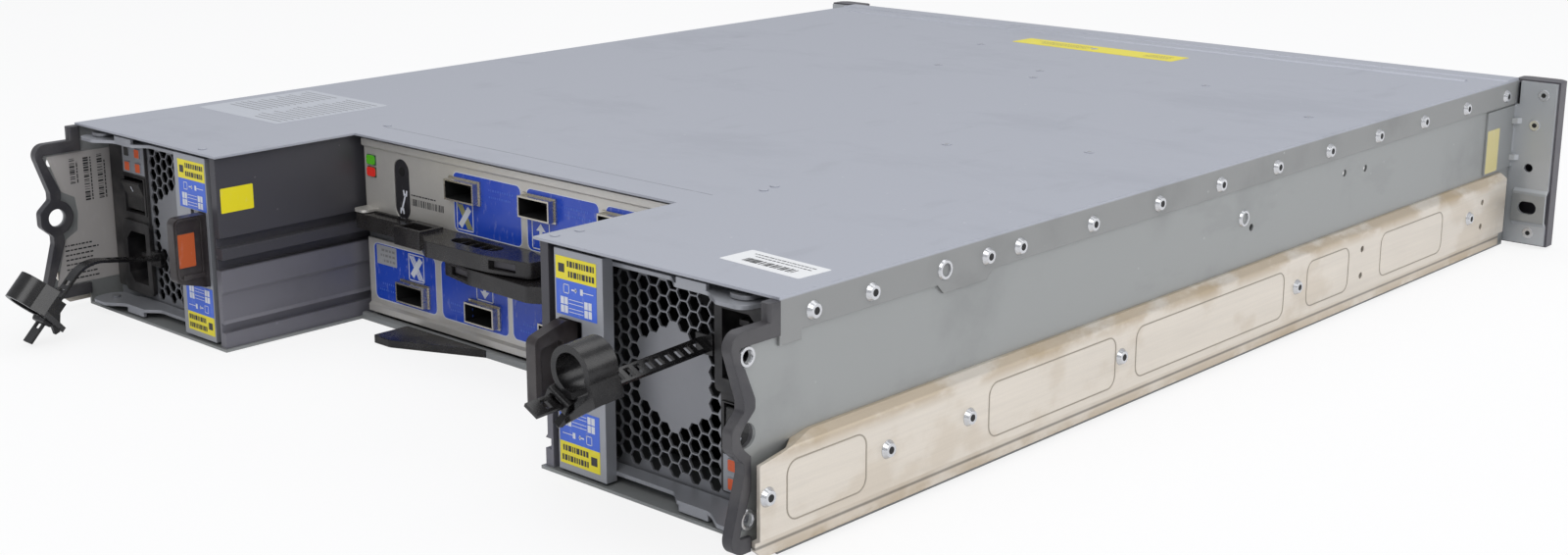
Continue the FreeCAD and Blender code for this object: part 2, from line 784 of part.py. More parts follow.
def psu_face_plate():
    """Rear face: honeycomb grille, column cut-outs, handle lugs and pivot pins."""
    back = psu_face - psu_steel
    plate = box(psu_inner + plate_margin, psu_outer - plate_margin, back, psu_face,
                psu_bottom + plate_margin, psu_top - plate_margin)
    cells = [Part.Face(outline("Y", back - psu_steel, hexagon(x, z, hex_flats)))
             for x, z in hexagon_centres()]
    cutters = [cell.extrude(Vector(0, 3 * psu_steel, 0)) for cell in cells]
    cutters.append(column_opening(inlet_width, inlet_height, inlet_centre))
    cutters.append(column_opening(rocker_width, rocker_height, rocker_centre))
    plate = plate.cut(cutters)
    lug_top = handle_arm_height - handle_steel / 2 - lug_gap
    lug_low = lug_top - handle_steel
    pin_length = handle_steel + 4 * lug_gap
    for low, pin_low in ((lug_low, lug_top), (shelf_height - lug_top, shelf_height - lug_top - pin_length)):
        lug = prism("Z", low, low + handle_steel, [
            (pivot_from_centre - lug_half, back), (pivot_from_centre + lug_half, back),
            (pivot_from_centre + lug_half, pivot_y + 4.5, 4.0),
            (pivot_from_centre - lug_half, pivot_y + 4.5, 4.0)])
        pin = rod("Z", pivot_from_centre, pivot_y, pin_low, pin_low + pin_length, pivot_radius)
        plate = plate.fuse([lug, pin])
    return plate.removeSplitter()


def column_opening(width, height, centre, grow=0.0):
    """Cutter for a control of the rear column."""
    return box(column_centre - width / 2 - grow, column_centre + width / 2 + grow, psu_face - 30.0,
               psu_face + 10.0, centre - height / 2 - grow, centre + height / 2 + grow)


def psu_switch_panel():
    """Black moulded panel round the inlet, the switch and the LED block."""
    panel = prism("Y", psu_face, psu_face + panel_thickness, [
        (panel_inner, panel_low, 1.5), (panel_outer, panel_low, 1.5),
        (panel_outer, panel_high, 1.5), (panel_inner, panel_high, 1.5)])
    return panel.cut([column_opening(inlet_width, inlet_height, inlet_centre),
                      column_opening(rocker_width, rocker_height, rocker_centre),
                      column_opening(led_width, led_height, led_centre)])


def psu_inlet():
    """Mains inlet: flanged body with a chamfered socket and three blades."""
    x = column_centre
    z = inlet_centre
    rear_face = psu_face + panel_thickness
    half_x = inlet_width / 2 - fit_gap
    half_z = inlet_height / 2 - fit_gap
    body = box(x - half_x, x + half_x, psu_face - inlet_depth, rear_face, z - half_z, z + half_z)
    half_x = inlet_width / 2 + inlet_rim
    half_z = inlet_height / 2 + inlet_rim
    flange = prism("Y", rear_face, rear_face + panel_thickness, [
        (x - half_x, z - half_z, 2.0), (x + half_x, z - half_z, 2.0),
        (x + half_x, z + half_z, 2.0), (x - half_x, z + half_z, 2.0)])
    half_x = inlet_width / 2 - socket_inset_x
    half_z = inlet_height / 2 - socket_inset_z
    corner = 4.0
    socket = prism("Y", psu_face - inlet_depth + 3.0, psu_face + 5.0, [
        (x - half_x, z - half_z), (x + half_x - corner, z - half_z), (x + half_x, z - half_z + corner),
        (x + half_x, z + half_z - corner), (x + half_x - corner, z + half_z), (x - half_x, z + half_z)])
    blades = [box(x + dx - blade_half, x + dx + blade_half, psu_face - inlet_depth + 2.0, psu_face - 2.0,
                  z + dz - 1.0, z + dz + 1.0)
              for dx, dz in ((-2.5, -blade_spread), (-2.5, blade_spread), (2.5, 0.0))]
    return fused(fused(body, flange).cut(socket), *blades)


def psu_rocker():
    """Rocker of the mains switch, pressed at its lower half."""
    half_w = rocker_width / 2 - 1.6
    half_h = rocker_height / 2 - 1.6
    y = psu_face
    z = rocker_centre
    return prism("X", column_centre - half_w, column_centre + half_w, [
        (y - 6.0, z - half_h + 2.1), (y - 6.0, z + half_h - 2.1), (y + 4.6, z + half_h, 0.8),
        (y + 1.6, z, 4.0), (y + 1.4, z - half_h, 0.8)])


def psu_rocker_frame():
    """Bezel of the mains switch."""
    x = column_centre
    z = rocker_centre
    half_x = rocker_width / 2 - fit_gap
    half_z = rocker_height / 2 - fit_gap
    frame = box(x - half_x, x + half_x, psu_face - 9.0, psu_face + panel_thickness + 0.6, z - half_z,
                z + half_z)
    half_x = rocker_width / 2 - 1.2
    half_z = rocker_height / 2 - 0.6
    hollow = box(x - half_x, x + half_x, psu_face - 8.0, psu_face + 9.0, z - half_z, z + half_z)
    return frame.cut(hollow)


def psu_led_block():
    """Indicator block: a plate with four square lenses."""
    x = column_centre
    y = psu_face + panel_thickness
    half_x = led_width / 2 - fit_gap
    half_z = led_height / 2 - fit_gap
    plate = box(x - half_x, x + half_x, psu_face, y, led_centre - half_z, led_centre + half_z)
    lens = 2.2
    lenses = [box(x + dx - lens, x + dx + lens, y, y + 0.6, led_centre + dz - lens, led_centre + dz + lens)
              for dx in (-4.6, 4.6) for dz in (-3.4, 3.4)]
    return fused(plate, *lenses)


def fan_frame():
    """Square fan housing with a round duct and a hub carried on four struts."""
    y1 = psu_face - fan_plenum
    y0 = y1 - fan_depth
    half = fan_size / 2
    frame = prism("Y", y0, y1, [
        (fan_centre - half, mid_height - half, 3.0), (fan_centre + half, mid_height - half, 3.0),
        (fan_centre + half, mid_height + half, 3.0), (fan_centre - half, mid_height + half, 3.0)])
    frame = frame.cut(rod("Y", fan_centre, mid_height, y0 - 1, y1 + 1, fan_bore / 2))
    hub = rod("Y", fan_centre, mid_height, y0, y0 + strut_thickness, hub_radius - 1.0)
    struts = []
    for k in range(4):
        strut = box(fan_centre - 1.5, fan_centre + 1.5, y0, y0 + strut_thickness, mid_height + 10,
                    mid_height + fan_bore / 2 + 1)
        strut.rotate(Vector(fan_centre, y0, mid_height), Vector(0, 1, 0), 45 + 90 * k)
        struts.append(strut)
    spindle = rod("Y", fan_centre, mid_height, y0 + strut_thickness, y0 + 14.0, 1.5)
    seat = rod("Z", psu_middle, (y0 + y1) / 2, psu_bottom + psu_steel, mid_height - half, 8.0)
    return fused(frame, hub, spindle, seat, *struts)


def fan_rotor():
    """Hub cup with pitched, swept blades."""
    y1 = psu_face - fan_plenum - 1.0
    y0 = y1 - fan_depth + 6.0
    hub = rod("Y", fan_centre, mid_height, y0, y1, hub_radius - 1.0)
    hub = hub.cut(rod("Y", fan_centre, mid_height, y0 - 1, y1 - 2.0, hub_radius - 3.0))
    boss = rod("Y", fan_centre, mid_height, y0 + 2.0, y1 - 1.0, 4.0)
    hub = fused(hub, boss)
    reach = fan_bore / 2 - 1.5
    blades = []
    for k in range(fan_blades):
        sections = []
        for radius, pitch in ((hub_radius - 2.0, 38.0), (reach, 26.0)):
            chord = 0.9 * 2 * math.pi * radius / fan_blades * 0.8
            along = chord / 2 * math.cos(math.radians(pitch))
            rise = min(chord / 2 * math.sin(math.radians(pitch)), (y1 - y0) / 2 - 1.0)
            middle = (y0 + y1) / 2
            z = mid_height + radius
            sections.append(outline("Z", z, [(fan_centre - along, middle - rise - 0.7),
                                             (fan_centre - along, middle - rise + 0.7),
                                             (fan_centre + along, middle + rise + 0.7),
                                             (fan_centre + along, middle + rise - 0.7)]))
        blade = Part.makeLoft(sections, True, True)
        blade.rotate(Vector(fan_centre, 0, mid_height), Vector(0, 1, 0), 360.0 * k / fan_blades)
        blades.append(blade)
    rotor = hub.fuse(blades).removeSplitter()
    return rotor.cut(rod("Y", fan_centre, mid_height, y0 - 1, y0 + 10.0, 1.5 + running_clearance))


def psu_handle():
    """Cam handle: label strip with a latch window, joined to upper and lower cam arms."""
    low = psu_bottom + handle_strip_margin
    high = psu_top - handle_strip_margin
    strip_front = strip_rear - handle_return
    strip = box(strip_inner, strip_outer, strip_rear - handle_steel, strip_rear, low, high)
    returns = [box(x, x + handle_steel, strip_front, strip_rear, low, high)
               for x in (strip_inner, strip_outer - handle_steel)]
    window = box(window_inner, window_inner + window_width, strip_front - 1, strip_rear + 1,
                 window_low, window_high)
    arm_front = psu_face + handle_arm_gap
    px = pivot_from_centre
    arm_outline = [
        (strip_inner + 2, arm_front), (px - 12.0, arm_front, 4.0), (px - 6.0, pivot_y - 7.0, 4.0),
        (px + 6.0, pivot_y - 7.0, 5.0), (px + cam_reach, pivot_y, 5.0),
        (px + 7.0, pivot_y + cam_reach, 5.0), (px - 5.0, pivot_y + cam_reach, 4.0),
        (px - 14.0, strip_rear, 8.0), (px - 30.0, strip_rear, 3.0), (px - 36.0, strip_front, 4.0),
        (strip_outer, strip_front), (strip_outer, strip_rear), (strip_inner + 2, strip_rear)]
    arms = []
    lips = []
    for middle in (handle_arm_height, shelf_height - handle_arm_height):
        arms.append(prism("Z", middle - handle_steel / 2, middle + handle_steel / 2, arm_outline))
        outer_edge = middle - math.copysign(lip_drop / 2, mid_height - middle)
        lips.append(box(px - 29.0, px - 15.0, strip_rear - handle_steel, strip_rear,
                        outer_edge - lip_drop / 2 + 0.4, outer_edge + lip_drop / 2 - 0.4))
    handle = fused(strip, *returns).cut(window)
    handle = fused(handle, *arms, *lips)
    bore = rod("Z", px, pivot_y, 0, shelf_height, pivot_radius + running_clearance)
    return handle.cut(bore)


def psu_latch():
    """Squeeze latch: a ribbed fin standing rearwards out of the handle's window, with its pad."""
    x0 = window_inner + latch_gap
    low = window_low + latch_gap
    high = window_high - latch_gap
    y0 = strip_rear - handle_return + 1.0
    y1 = strip_rear + latch_reach
    fin = prism("X", x0, x0 + latch_thickness, [
        (y0, low), (strip_rear + 2.0, low), (y1, low + 4.0, 3.0), (y1, high, 3.0), (y0, high)])
    scoop = prism("X", x0 + 2.0, x0 + latch_thickness + 1, [
        (strip_rear + 3.0, low + 6.0, 2.0), (y1 - 2.5, low + 8.0, 2.0), (y1 - 2.5, high - 3.0, 2.0),
        (strip_rear + 3.0, high - 3.0, 2.0)])
    ledge = box(x0 - 0.9, x0, strip_rear + 2.0, y1 - 3.0, low + 5.0, low + 7.0)
    pad = box(x0 - 0.7, x0, y1 - 9.5, y1 - 1.2, low + 10.6, low + 25.6)
    return fused(fin.cut(scoop), ledge, pad)


def strap_body(path, rungs):
    """Flat ladder strap along a (y, z) path: its outline with round bends, then the rung slots."""
    half = strap_thickness / 2
    upper = []
    lower = []
    for i, point in enumerate(path):
        before = path[max(i - 1, 0)]
        after = path[min(i + 1, len(path) - 1)]
        into = Vector(point[0] - before[0], point[1] - before[1], 0)
        out = Vector(after[0] - point[0], after[1] - point[1], 0)
        into = out if into.Length == 0 else into
        out = into if out.Length == 0 else out
        normal = (Vector(-into.y, into.x, 0).normalize() + Vector(-out.y, out.x, 0).normalize()).normalize()
        stretch = half / max(normal.dot(Vector(-into.y, into.x, 0).normalize()), 0.1)
        bend = point[2] if len(point) > 2 else 0.0
        falling = into.x * out.y - into.y * out.x < 0
        grow = half if falling else -half
        aside = normal * stretch
        upper.append((point[0] + aside.x, point[1] + aside.y, bend + grow if bend else 0.0))
        lower.append((point[0] - aside.x, point[1] - aside.y, bend - grow if bend else 0.0))
    x0 = strap_offset - strap_width / 2
    strap = prism("X", x0, x0 + strap_width, upper + lower[::-1])
    cutters = []
    for start, end, count, first in rungs:
        direction = Vector(0, end[0] - start[0], end[1] - start[1]).normalize()
        tilt = math.degrees(math.atan2(direction.z, direction.y))
        for k in range(count):
            middle = Vector(strap_offset, start[0], start[1]) + direction * (first + k * rung_pitch)
            cutter = box(rung_margin - strap_width / 2, strap_width / 2 - rung_margin, -rung_slot / 2,
                         rung_slot / 2, -2, 2)
            cutter.Placement = Placement(middle, Rotation(Vector(1, 0, 0), tilt))
            cutters.append(cutter)
    return strap.cut(cutters)


def clamp_body():
    """Clamp at the origin: a sleeve round the strap (which runs along Y) under an open ring."""
    half_l = clamp_length / 2
    ring_z = ring_height
    ring = rod("Y", 0, ring_z, -half_l, half_l, clamp_radius)
    ring = ring.cut(rod("Y", 0, ring_z, -half_l - 1, half_l + 1, clamp_bore))
    start = math.radians(170)
    end = math.radians(170 + clamp_gap)
    wedge = prism("Y", -half_l - 1, half_l + 1, [
        (0, ring_z), (30 * math.cos(start), ring_z + 30 * math.sin(start)),
        (30 * math.cos(end), ring_z + 30 * math.sin(end))])
    ring = ring.cut(wedge)
    wall_x = strap_width / 2 + clamp_wall
    sleeve = box(-wall_x, wall_x, -4.5, 4.5, -2.4, 4.2)
    sleeve = sleeve.cut(rod("Y", 0, ring_z, -half_l - 1, half_l + 1, clamp_bore))
    head = prism("X", -wall_x, wall_x, [(4.5, -2.4), (8.0, -2.4, 1.0), (8.0, 2.0, 1.0), (4.5, 3.0)])
    tab = prism("X", -wall_x, clamp_wall / 3 - strap_width / 2, [
        (-4.5, 1.0), (4.5, 1.0), (9.0, -6.5), (7.0, -7.5)])
    bracket = prism("Y", -4.5, -2.5, [
        (wall_x - 2, -2.4), (wall_x, -2.4), (wall_x + 2.5, -6.0, 1.0), (wall_x - 1, -6.0, 1.0)])
    prong = prism("Y", -half_l, half_l, [
        (-clamp_radius - 0.2, ring_z + 2.2), (-clamp_radius - 5.0, ring_z - 3.0),
        (-clamp_radius - 4.0, ring_z - 3.6), (-clamp_radius + 2.6, ring_z + 1.6)])
    tail = prism("Y", half_l - 2.5, half_l, [
        (-clamp_radius - 5.0, ring_z - 3.0), (-2.6, -10.2), (-1.4, -9.6),
        (-clamp_radius - 1.6, ring_z - 1.4)])
    body = fused(ring, sleeve, head, tab, bracket, prong, tail)
    half_x = strap_width / 2 + clamp_clearance
    half_z = strap_thickness / 2 + clamp_clearance
    return body.cut(box(-half_x, half_x, -12, 12, -half_z, half_z))


def strap_anchor():
    """Push-in stud that holds the strap's root in the face plate."""
    return box(strap_offset - anchor_half, strap_offset + anchor_half, psu_face, psu_face + anchor_depth,
               strap_root - 3.5, strap_root + 3.5)


def along_path(start, end, distance):
    """Direction and tilt of a (y, z) run, and the point at a distance along it."""
    direction = Vector(0, end[0] - start[0], end[1] - start[1]).normalize()
    tilt = math.degrees(math.atan2(direction.z, direction.y))
    return Vector(strap_offset, start[0], start[1]) + direction * distance, tilt


def drooping_strap():
    """Left strap, which arches out and droops under its clamp, and the clamp on it."""
    path = [(psu_face + strap_seat, strap_root),
            (rear + droop_crest_reach, strap_root + droop_crest_rise, droop_bend),
            (rear + droop_tip_reach, droop_tip_height)]
    strap = strap_body(path, [(path[0], path[1], 5, 8.0), (path[1], path[2], 6, 12.0)])
    middle, tilt = along_path(path[1], path[2], droop_clamp_place)
    clamp = clamp_body()
    clamp.rotate(Vector(0, 0, 0), Vector(1, 0, 0), tilt)
    clamp.translate(middle)
    return fused(strap, strap_anchor()), clamp


def drawn_strap():
    """Right strap before it is turned over: drawn straight out, twisted, with its clamp."""
    root = (psu_face + strap_seat, strap_root)
    end = (rear + drawn_tip_reach, strap_root + drawn_tip_rise)
    strap = strap_body([root, end], [(root, end, 16, 6.0)])
    middle, tilt = along_path(root, end, drawn_clamp_place)
    clamp = clamp_body()
    clamp.rotate(Vector(0, 0, 0), Vector(0, 1, 0), 180)
    clamp.rotate(Vector(0, 0, 0), Vector(1, 0, 0), tilt)
    clamp.translate(middle)
    foot = along_path(root, end, 0.0)[0]
    axis = along_path(root, end, 1.0)[0] - foot
    for piece in (strap, clamp):
        piece.rotate(foot, axis, -strap_twist)
    return fused(strap, strap_anchor()), clamp


# ---------------------------------------------------------------- I/O module pieces, upper one
def io_case():
    """Sheet case of the module, open towards the midplane."""
    case = box(-io_half, io_half, io_front, io_face - io_steel, io_bottom, io_top)
    room = box(io_steel - io_half, io_half - io_steel, io_front - 1, io_face - 2 * io_steel,
               io_bottom + io_steel, io_top - io_steel)
    pipes = [light_pipe_box(z, light_pipe_fit, port_fit) for z in light_pipe_levels]
    return case.cut([room] + pipes + [port_box(x, port_fit) for x in port_places()])


def io_faceplate():
    """Aluminium front frame with port cut-outs, a recessed service slot and the lever's pivot."""
    plate = prism("Y", io_face - io_steel, io_face, [
        (-io_half, io_panel_bottom), (io_half, io_panel_bottom), (io_half, io_panel_top),
        (-io_half, io_panel_top)])
    rim = prism("X", -io_half, io_half, [
        (io_face, io_panel_top - 4.0), (io_face + 1.4, io_panel_top - 3.0), (io_face + 1.4, io_panel_top),
        (io_face, io_panel_top)])
    run = (service_slot_length - service_slot_width) / 2
    x = io_half - service_slot_inset
    z = io_panel_bottom + service_slot_rise
    half = service_slot_width / 2
    groove = prism("Y", io_face - 0.6, io_face + 1, [
        (x - half, z - run), (x + half, z - run), (x + half, z + run), (x - half, z + run)])
    ends = [rod("Y", x, level, io_face - 0.6, io_face + 1, half) for level in (z - run, z + run)]
    cutters = [port_box(place_x, port_fit) for place_x in port_places()] + [groove] + ends
    cutters += [light_pipe_box(level, 2.0, port_fit) for level in light_pipe_levels]
    return fused(fused(plate, rim).cut(cutters), io_pivot_pin())


def port_places():
    """Centres of the module's ports along the faceplate."""
    return [port_first - port_pitch * k for k in range(port_count)]


def port_box(x, grow=0.0):
    """Outer block of one port cage."""
    half_x = port_width / 2 + grow
    half_z = port_height / 2 + grow
    return box(x - half_x, x + half_x, io_face - port_depth, io_face + port_reach, port_level - half_z,
               port_level + half_z)


def io_port_cages():
    """Metal cages of the ports, each with a rolled rear edge and the connector tongue inside."""
    cages = []
    for x in port_places():
        half_x = port_width / 2 - port_wall
        half_z = port_height / 2 - port_wall
        bore = box(x - half_x, x + half_x, io_face - port_depth + 4.0, io_face + port_reach + 1,
                   port_level - half_z, port_level + half_z)
        half_x = port_width / 2 + port_lip
        half_z = port_height / 2 + port_lip
        lip = box(x - half_x, x + half_x, io_face, io_face + 0.9, port_level - half_z, port_level + half_z)
        tongue = box(x - port_width / 3, x + port_width / 3, io_face - port_depth + 3.0, io_face - 6.0,
                     port_level - port_wall, port_level + port_wall)
        cages.append(fused(fused(port_box(x), lip).cut(bore), tongue))
    return cages


def io_board():
    """Module's circuit board with its midplane plugs."""
    low = port_level - port_height / 2 - 1.6
    board = box(io_steel - io_half, io_half - io_steel, io_front + 1.0, io_face - 3.0, low - 1.6, low)
    level = io_mid + module_plug_level
    plugs = [box(x - 20, x + 20, io_front - 1.2, io_front + 12.0, min(level - 7, low - 1.0),
                 max(level + 7, low + 2))
             for x in (-module_plug_offset, module_plug_offset)]
    return fused(board, *plugs)


def light_pipe_box(z, reach, grow=0.0):
    """Square light pipe of one indicator, ending just in front of the faceplate."""
    half_x = light_pipe_width / 2 + grow
    half_z = light_pipe_height / 2 + grow
    return box(light_pipe_place - half_x, light_pipe_place + half_x, io_face - 8.0, io_face + reach,
               z - half_z, z + half_z)


def io_light_pipes():
    """Clear block on the board that carries light to the two indicators."""
    low = port_level - port_height / 2 - 1.6
    half = light_pipe_width / 2
    foot = box(light_pipe_place - half, light_pipe_place + half, io_face - 12.0, io_face - 8.0, low,
               light_pipe_levels[-1] + light_pipe_height / 2)
    return fused(foot, *[light_pipe_box(z, light_pipe_fit) for z in light_pipe_levels])


def io_lever():
    """Cam lever: thin arm from its pivot, an open frame, and a deep finger grip past the centre."""
    y0 = io_face + lever_gap
    pin_y = y0 + lever_end_radius
    arm = y0 + lever_arm_depth
    deep = io_face + lever_grip_depth
    tip = io_face + lever_tip_depth
    low = lever_bottom
    top = lever_top
    end = lever_pivot + lever_end_radius
    grip = lever_grip_end
    body = prism("Z", low, top, [
        (end, y0, lever_end_radius - 0.01), (end, pin_y + lever_end_radius, lever_end_radius - 0.01),
        (lever_pivot - 6.0, arm, 5.0), (grip + 14.0, arm, 5.0), (grip + 9.0, deep - 6.0, 3.0),
        (grip - 1.0, deep, 5.0), (grip - 40.0, deep - 1.5, 30.0), (lever_tip, tip, 4.0),
        (lever_tip, y0 + 5.0, 3.0), (lever_tip + 16.0, y0, 4.0)])
    frame_start = grip + 9.0
    frame_end = frame_start + lever_frame_length
    frame_rear = deep - 5.0
    frame = box(frame_start, frame_end, y0 + 2.0, frame_rear, low, top + 1.2)
    wall = lever_frame_wall
    opening = box(frame_start + wall, frame_end - wall, y0 + 2.0 + 2 * wall, frame_rear - wall, low - 1,
                  top + 2)
    scoop = slot("Z", grip - 22.0, y0 + 8.5, top - 3.2, top + 1, 30.0, 8.0)
    under = slot("Z", grip - 22.0, y0 + 8.5, low - 1, low + 1.5, 30.0, 8.0)
    ribs = [box(grip - 30.0 + 6 * k, grip - 28.8 + 6 * k, y0 + 4.0, y0 + 13.0, top - 3.4, top - 1.2)
            for k in range(4)]
    rib = prism("Z", top, top + 0.8, [(frame_end + 2, y0 + 1.5), (lever_pivot - 6, y0 + 1.5),
                                      (lever_pivot - 6, y0 + 3.0), (frame_end + 2, y0 + 3.0)])
    body = body.cut([scoop, under, lever_latch_room(0.0)]).fuse([frame, rib] + ribs)
    bore = rod("Z", lever_pivot, pin_y, low - 1, top + 1, lever_pin_radius + running_clearance)
    return body.cut([opening, bore]).removeSplitter()


def lever_latch_room(shrink):
    """Room of the lever's latch button near the tip."""
    tip = io_face + lever_tip_depth
    start = lever_tip + latch_room_start
    return box(start + shrink, start + latch_room_length - shrink, tip - 5.5 + shrink, tip + 9.0,
               lever_bottom + 1.6 + shrink, lever_top - 1.6 - shrink)


def io_lever_latch():
    """Latch button in the lever's window."""
    tip = io_face + lever_tip_depth
    left = lever_tip + latch_room_start - 1.0
    right = left + latch_room_length + 2.0
    shape = prism("Z", lever_bottom, lever_top, [
        (left, tip - 6.0), (right, tip - 6.0), (right, tip + 1.6), (left, tip - 0.4)])
    back = box(left - 5, right + 5, tip - 6.0, tip - 5.5 + lever_latch_travel + latch_gap, 0, shelf_height)
    return shape.common(lever_latch_room(latch_gap)).cut(back)


def io_pivot_pin():
    """Pin of the lever, hanging from a bracket of the faceplate."""
    y = io_face + lever_gap + lever_end_radius
    bracket = prism("Z", lever_top + lug_gap, lever_top + lug_gap + 1.2, [
        (lever_pivot - 5, io_face - io_steel / 2), (lever_pivot + 4, io_face - io_steel / 2),
        (lever_pivot + 4, y + 4, 3.0), (lever_pivot - 5, y + 4, 3.0)])
    pin = rod("Z", lever_pivot, y, lever_bottom + lug_gap, lever_top + lug_gap, lever_pin_radius)
    return fused(bracket, pin)


# ---------------------------------------------------------------- fasteners
def screw(x, y, z, outward):
    """Pan-head screw whose head sits on a plane facing +X or -X."""
    axis = Vector(outward, 0, 0)
    head = Part.makeCone(screw_head_radius, screw_head_radius - 1.0, screw_head_height, Vector(x, y, z),
                         axis)
    recess = Part.makeCylinder(screw_recess_radius, screw_head_height,
                               Vector(x + outward * screw_head_height / 2, y, z), axis)
    return head.cut(recess)


def rivet_nut(x, y, z, outward):
    """Flanged rivet nut with its open bore."""
    axis = Vector(outward, 0, 0)
    flange = Part.makeCone(nut_radius, nut_radius - 0.5, nut_height, Vector(x, y, z), axis)
    bore = Part.makeCylinder(nut_bore, 3 * nut_height, Vector(x - outward * nut_height, y, z), axis)
    return flange.cut(bore)


def fastener_groups():
    """Screws and rivet nuts of both sides."""
    screws = []
    nuts = []
    row = [front + screw_first + screw_pitch * k for k in range(screw_row_count)]
    row += [rear - back for back in rear_screw_places]
    level = shelf_height - flange_row_drop
    for sign in (-1, 1):
        for y in row:
            screws.append(screw(sign * side, y, level, sign))
        for back in rail_screw_places:
            screws.append(screw(sign * (wall_outer + rail_depth), rear - back, rail_screw_height, sign))
        nuts.append(rivet_nut(sign * side, rear - tab_nut_from_rear, level, sign))
        nuts.append(rivet_nut(sign * wall_outer, rear - wall_nut_from_rear,
                              shelf_height - wall_nut_drop, sign))
        for height in ear_nut_heights:
            nuts.append(rivet_nut(sign * wall_outer, waist_y, height, sign))
    return screws, nuts


def button_rod(low, high, radius):
    """Rod on the line of the shelf-number button, in the left end cap."""
    return rod("Y", rack_width / 2 - button_inset, button_height, low, high, radius)


# ---------------------------------------------------------------- build all sub-parts
def main():
    """Make every sub-part and write its STEP file."""
    os.makedirs("parts", exist_ok=True)
    save("chassis_pan", chassis_pan())
    save("top_cover", top_cover())
    save("drive_guides", *drive_guides())
    save("midplane_board", midplane_board())
    save("midplane_connectors", *midplane_connectors())
    save("io_divider", io_divider())
    save("notch_guard", notch_guard())
    paired = {"bay_wall": bay_wall(), "side_rail": side_rail(), "edge_trim": edge_trim(),
              "ear_bracket": ear_bracket()}
    for name, shape in paired.items():
        save(name + "_left", shape)
        save(name + "_right", mirrored(shape))
    cap = end_cap()
    cap_front = ear_front - cap_depth
    save("end_cap_left", cap.cut(button_rod(cap_front - 5.0, ear_front, button_radius + button_fit)))
    save("end_cap_right", mirrored(cap))
    save("shelf_id_button", button_rod(cap_front - button_stand, cap_front + 8.0, button_radius))
    screws, nuts = fastener_groups()
    save("machine_screws", *screws)
    save("rivet_nuts", *nuts)

    psu = {
        "case": psu_case(), "board": psu_board(), "face_plate": psu_face_plate(),
        "switch_panel": psu_switch_panel(), "inlet": psu_inlet(),
        "rocker_frame": psu_rocker_frame(), "rocker": psu_rocker(),
        "led_block": psu_led_block(), "fan_frame": fan_frame(), "fan_rotor": fan_rotor(),
        "handle": psu_handle(), "latch": psu_latch(),
    }
    for name, shape in psu.items():
        save("psu_left_" + name, shape)
        save("psu_right_" + name, turned(shape, mid_height))
    strap, clamp = drooping_strap()
    save("psu_left_strap", strap)
    save("psu_left_clamp", clamp)
    strap, clamp = drawn_strap()
    save("psu_right_strap", turned(strap, mid_height))
    save("psu_right_clamp", turned(clamp, mid_height))

    io = {
        "case": [io_case()], "faceplate": [io_faceplate()], "port_cages": io_port_cages(),
        "board": [io_board(), io_light_pipes()], "lever": [io_lever()],
        "lever_latch": [io_lever_latch()],
    }
    for name, shapes in io.items():
        save("io_upper_" + name, *shapes)
        save("io_lower_" + name, *[turned(shape, io_mid) for shape in shapes])


main()
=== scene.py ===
import logging
import math
import random
from dataclasses import dataclass, field
from enum import Enum
from typing import Iterable, Sequence, Union

import bpy
from mathutils import Matrix, Vector


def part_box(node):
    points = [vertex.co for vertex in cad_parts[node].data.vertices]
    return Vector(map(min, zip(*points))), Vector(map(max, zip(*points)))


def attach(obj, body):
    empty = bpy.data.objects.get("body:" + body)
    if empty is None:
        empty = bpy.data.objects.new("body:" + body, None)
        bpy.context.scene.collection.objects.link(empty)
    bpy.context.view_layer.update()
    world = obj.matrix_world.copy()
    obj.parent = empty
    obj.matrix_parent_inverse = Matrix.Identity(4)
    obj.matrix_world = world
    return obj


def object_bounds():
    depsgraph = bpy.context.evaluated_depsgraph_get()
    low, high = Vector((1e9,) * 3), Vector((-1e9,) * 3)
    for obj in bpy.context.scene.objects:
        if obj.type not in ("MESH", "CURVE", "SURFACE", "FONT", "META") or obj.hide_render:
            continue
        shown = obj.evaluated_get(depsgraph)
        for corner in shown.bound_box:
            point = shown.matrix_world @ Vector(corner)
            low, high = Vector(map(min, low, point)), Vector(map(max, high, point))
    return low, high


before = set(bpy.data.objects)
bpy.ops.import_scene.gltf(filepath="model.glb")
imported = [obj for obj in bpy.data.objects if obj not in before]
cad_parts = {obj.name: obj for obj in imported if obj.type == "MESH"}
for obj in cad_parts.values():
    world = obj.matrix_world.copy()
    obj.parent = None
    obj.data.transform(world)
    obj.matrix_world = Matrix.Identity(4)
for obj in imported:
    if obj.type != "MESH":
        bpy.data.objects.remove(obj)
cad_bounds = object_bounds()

log = logging.getLogger("disk_shelf")

MM = 0.001
MID_HEIGHT = 43.5 * MM
IO_MID_HEIGHT = 44.5 * MM
PRINT_LIFT = 0.06 * MM
LABEL_THICK = 0.1 * MM
PANEL_THICK = 0.05 * MM
MARK_THICK = 0.03 * MM
SMALL_PRINT = 0.6 * MM
SOCKET_RADIUS = 1.35 * MM
WALL_STEEL = 1.0 * MM

RIGHT = Vector((1, 0, 0))
LEFT = Vector((-1, 0, 0))
FRONT = Vector((0, -1, 0))
REAR = Vector((0, 1, 0))
UP = Vector((0, 0, 1))

Number = Union[float, "Signal"]
Colour = tuple[float, float, float]
Patch = tuple[float, float, float, float]
Spot = tuple[float, float]


def mm(*values: float) -> tuple[float, ...]:
    """Lengths in metres, from the same lengths in millimetres."""
    return tuple(value * MM for value in values)


def turn_over(height: float) -> Matrix:
    """Half turn about the depth axis at a height, which makes one unit into its twin."""
    return (Matrix.Translation((0, 0, height)) @ Matrix.Rotation(math.pi, 4, "Y")
            @ Matrix.Translation((0, 0, -height)))


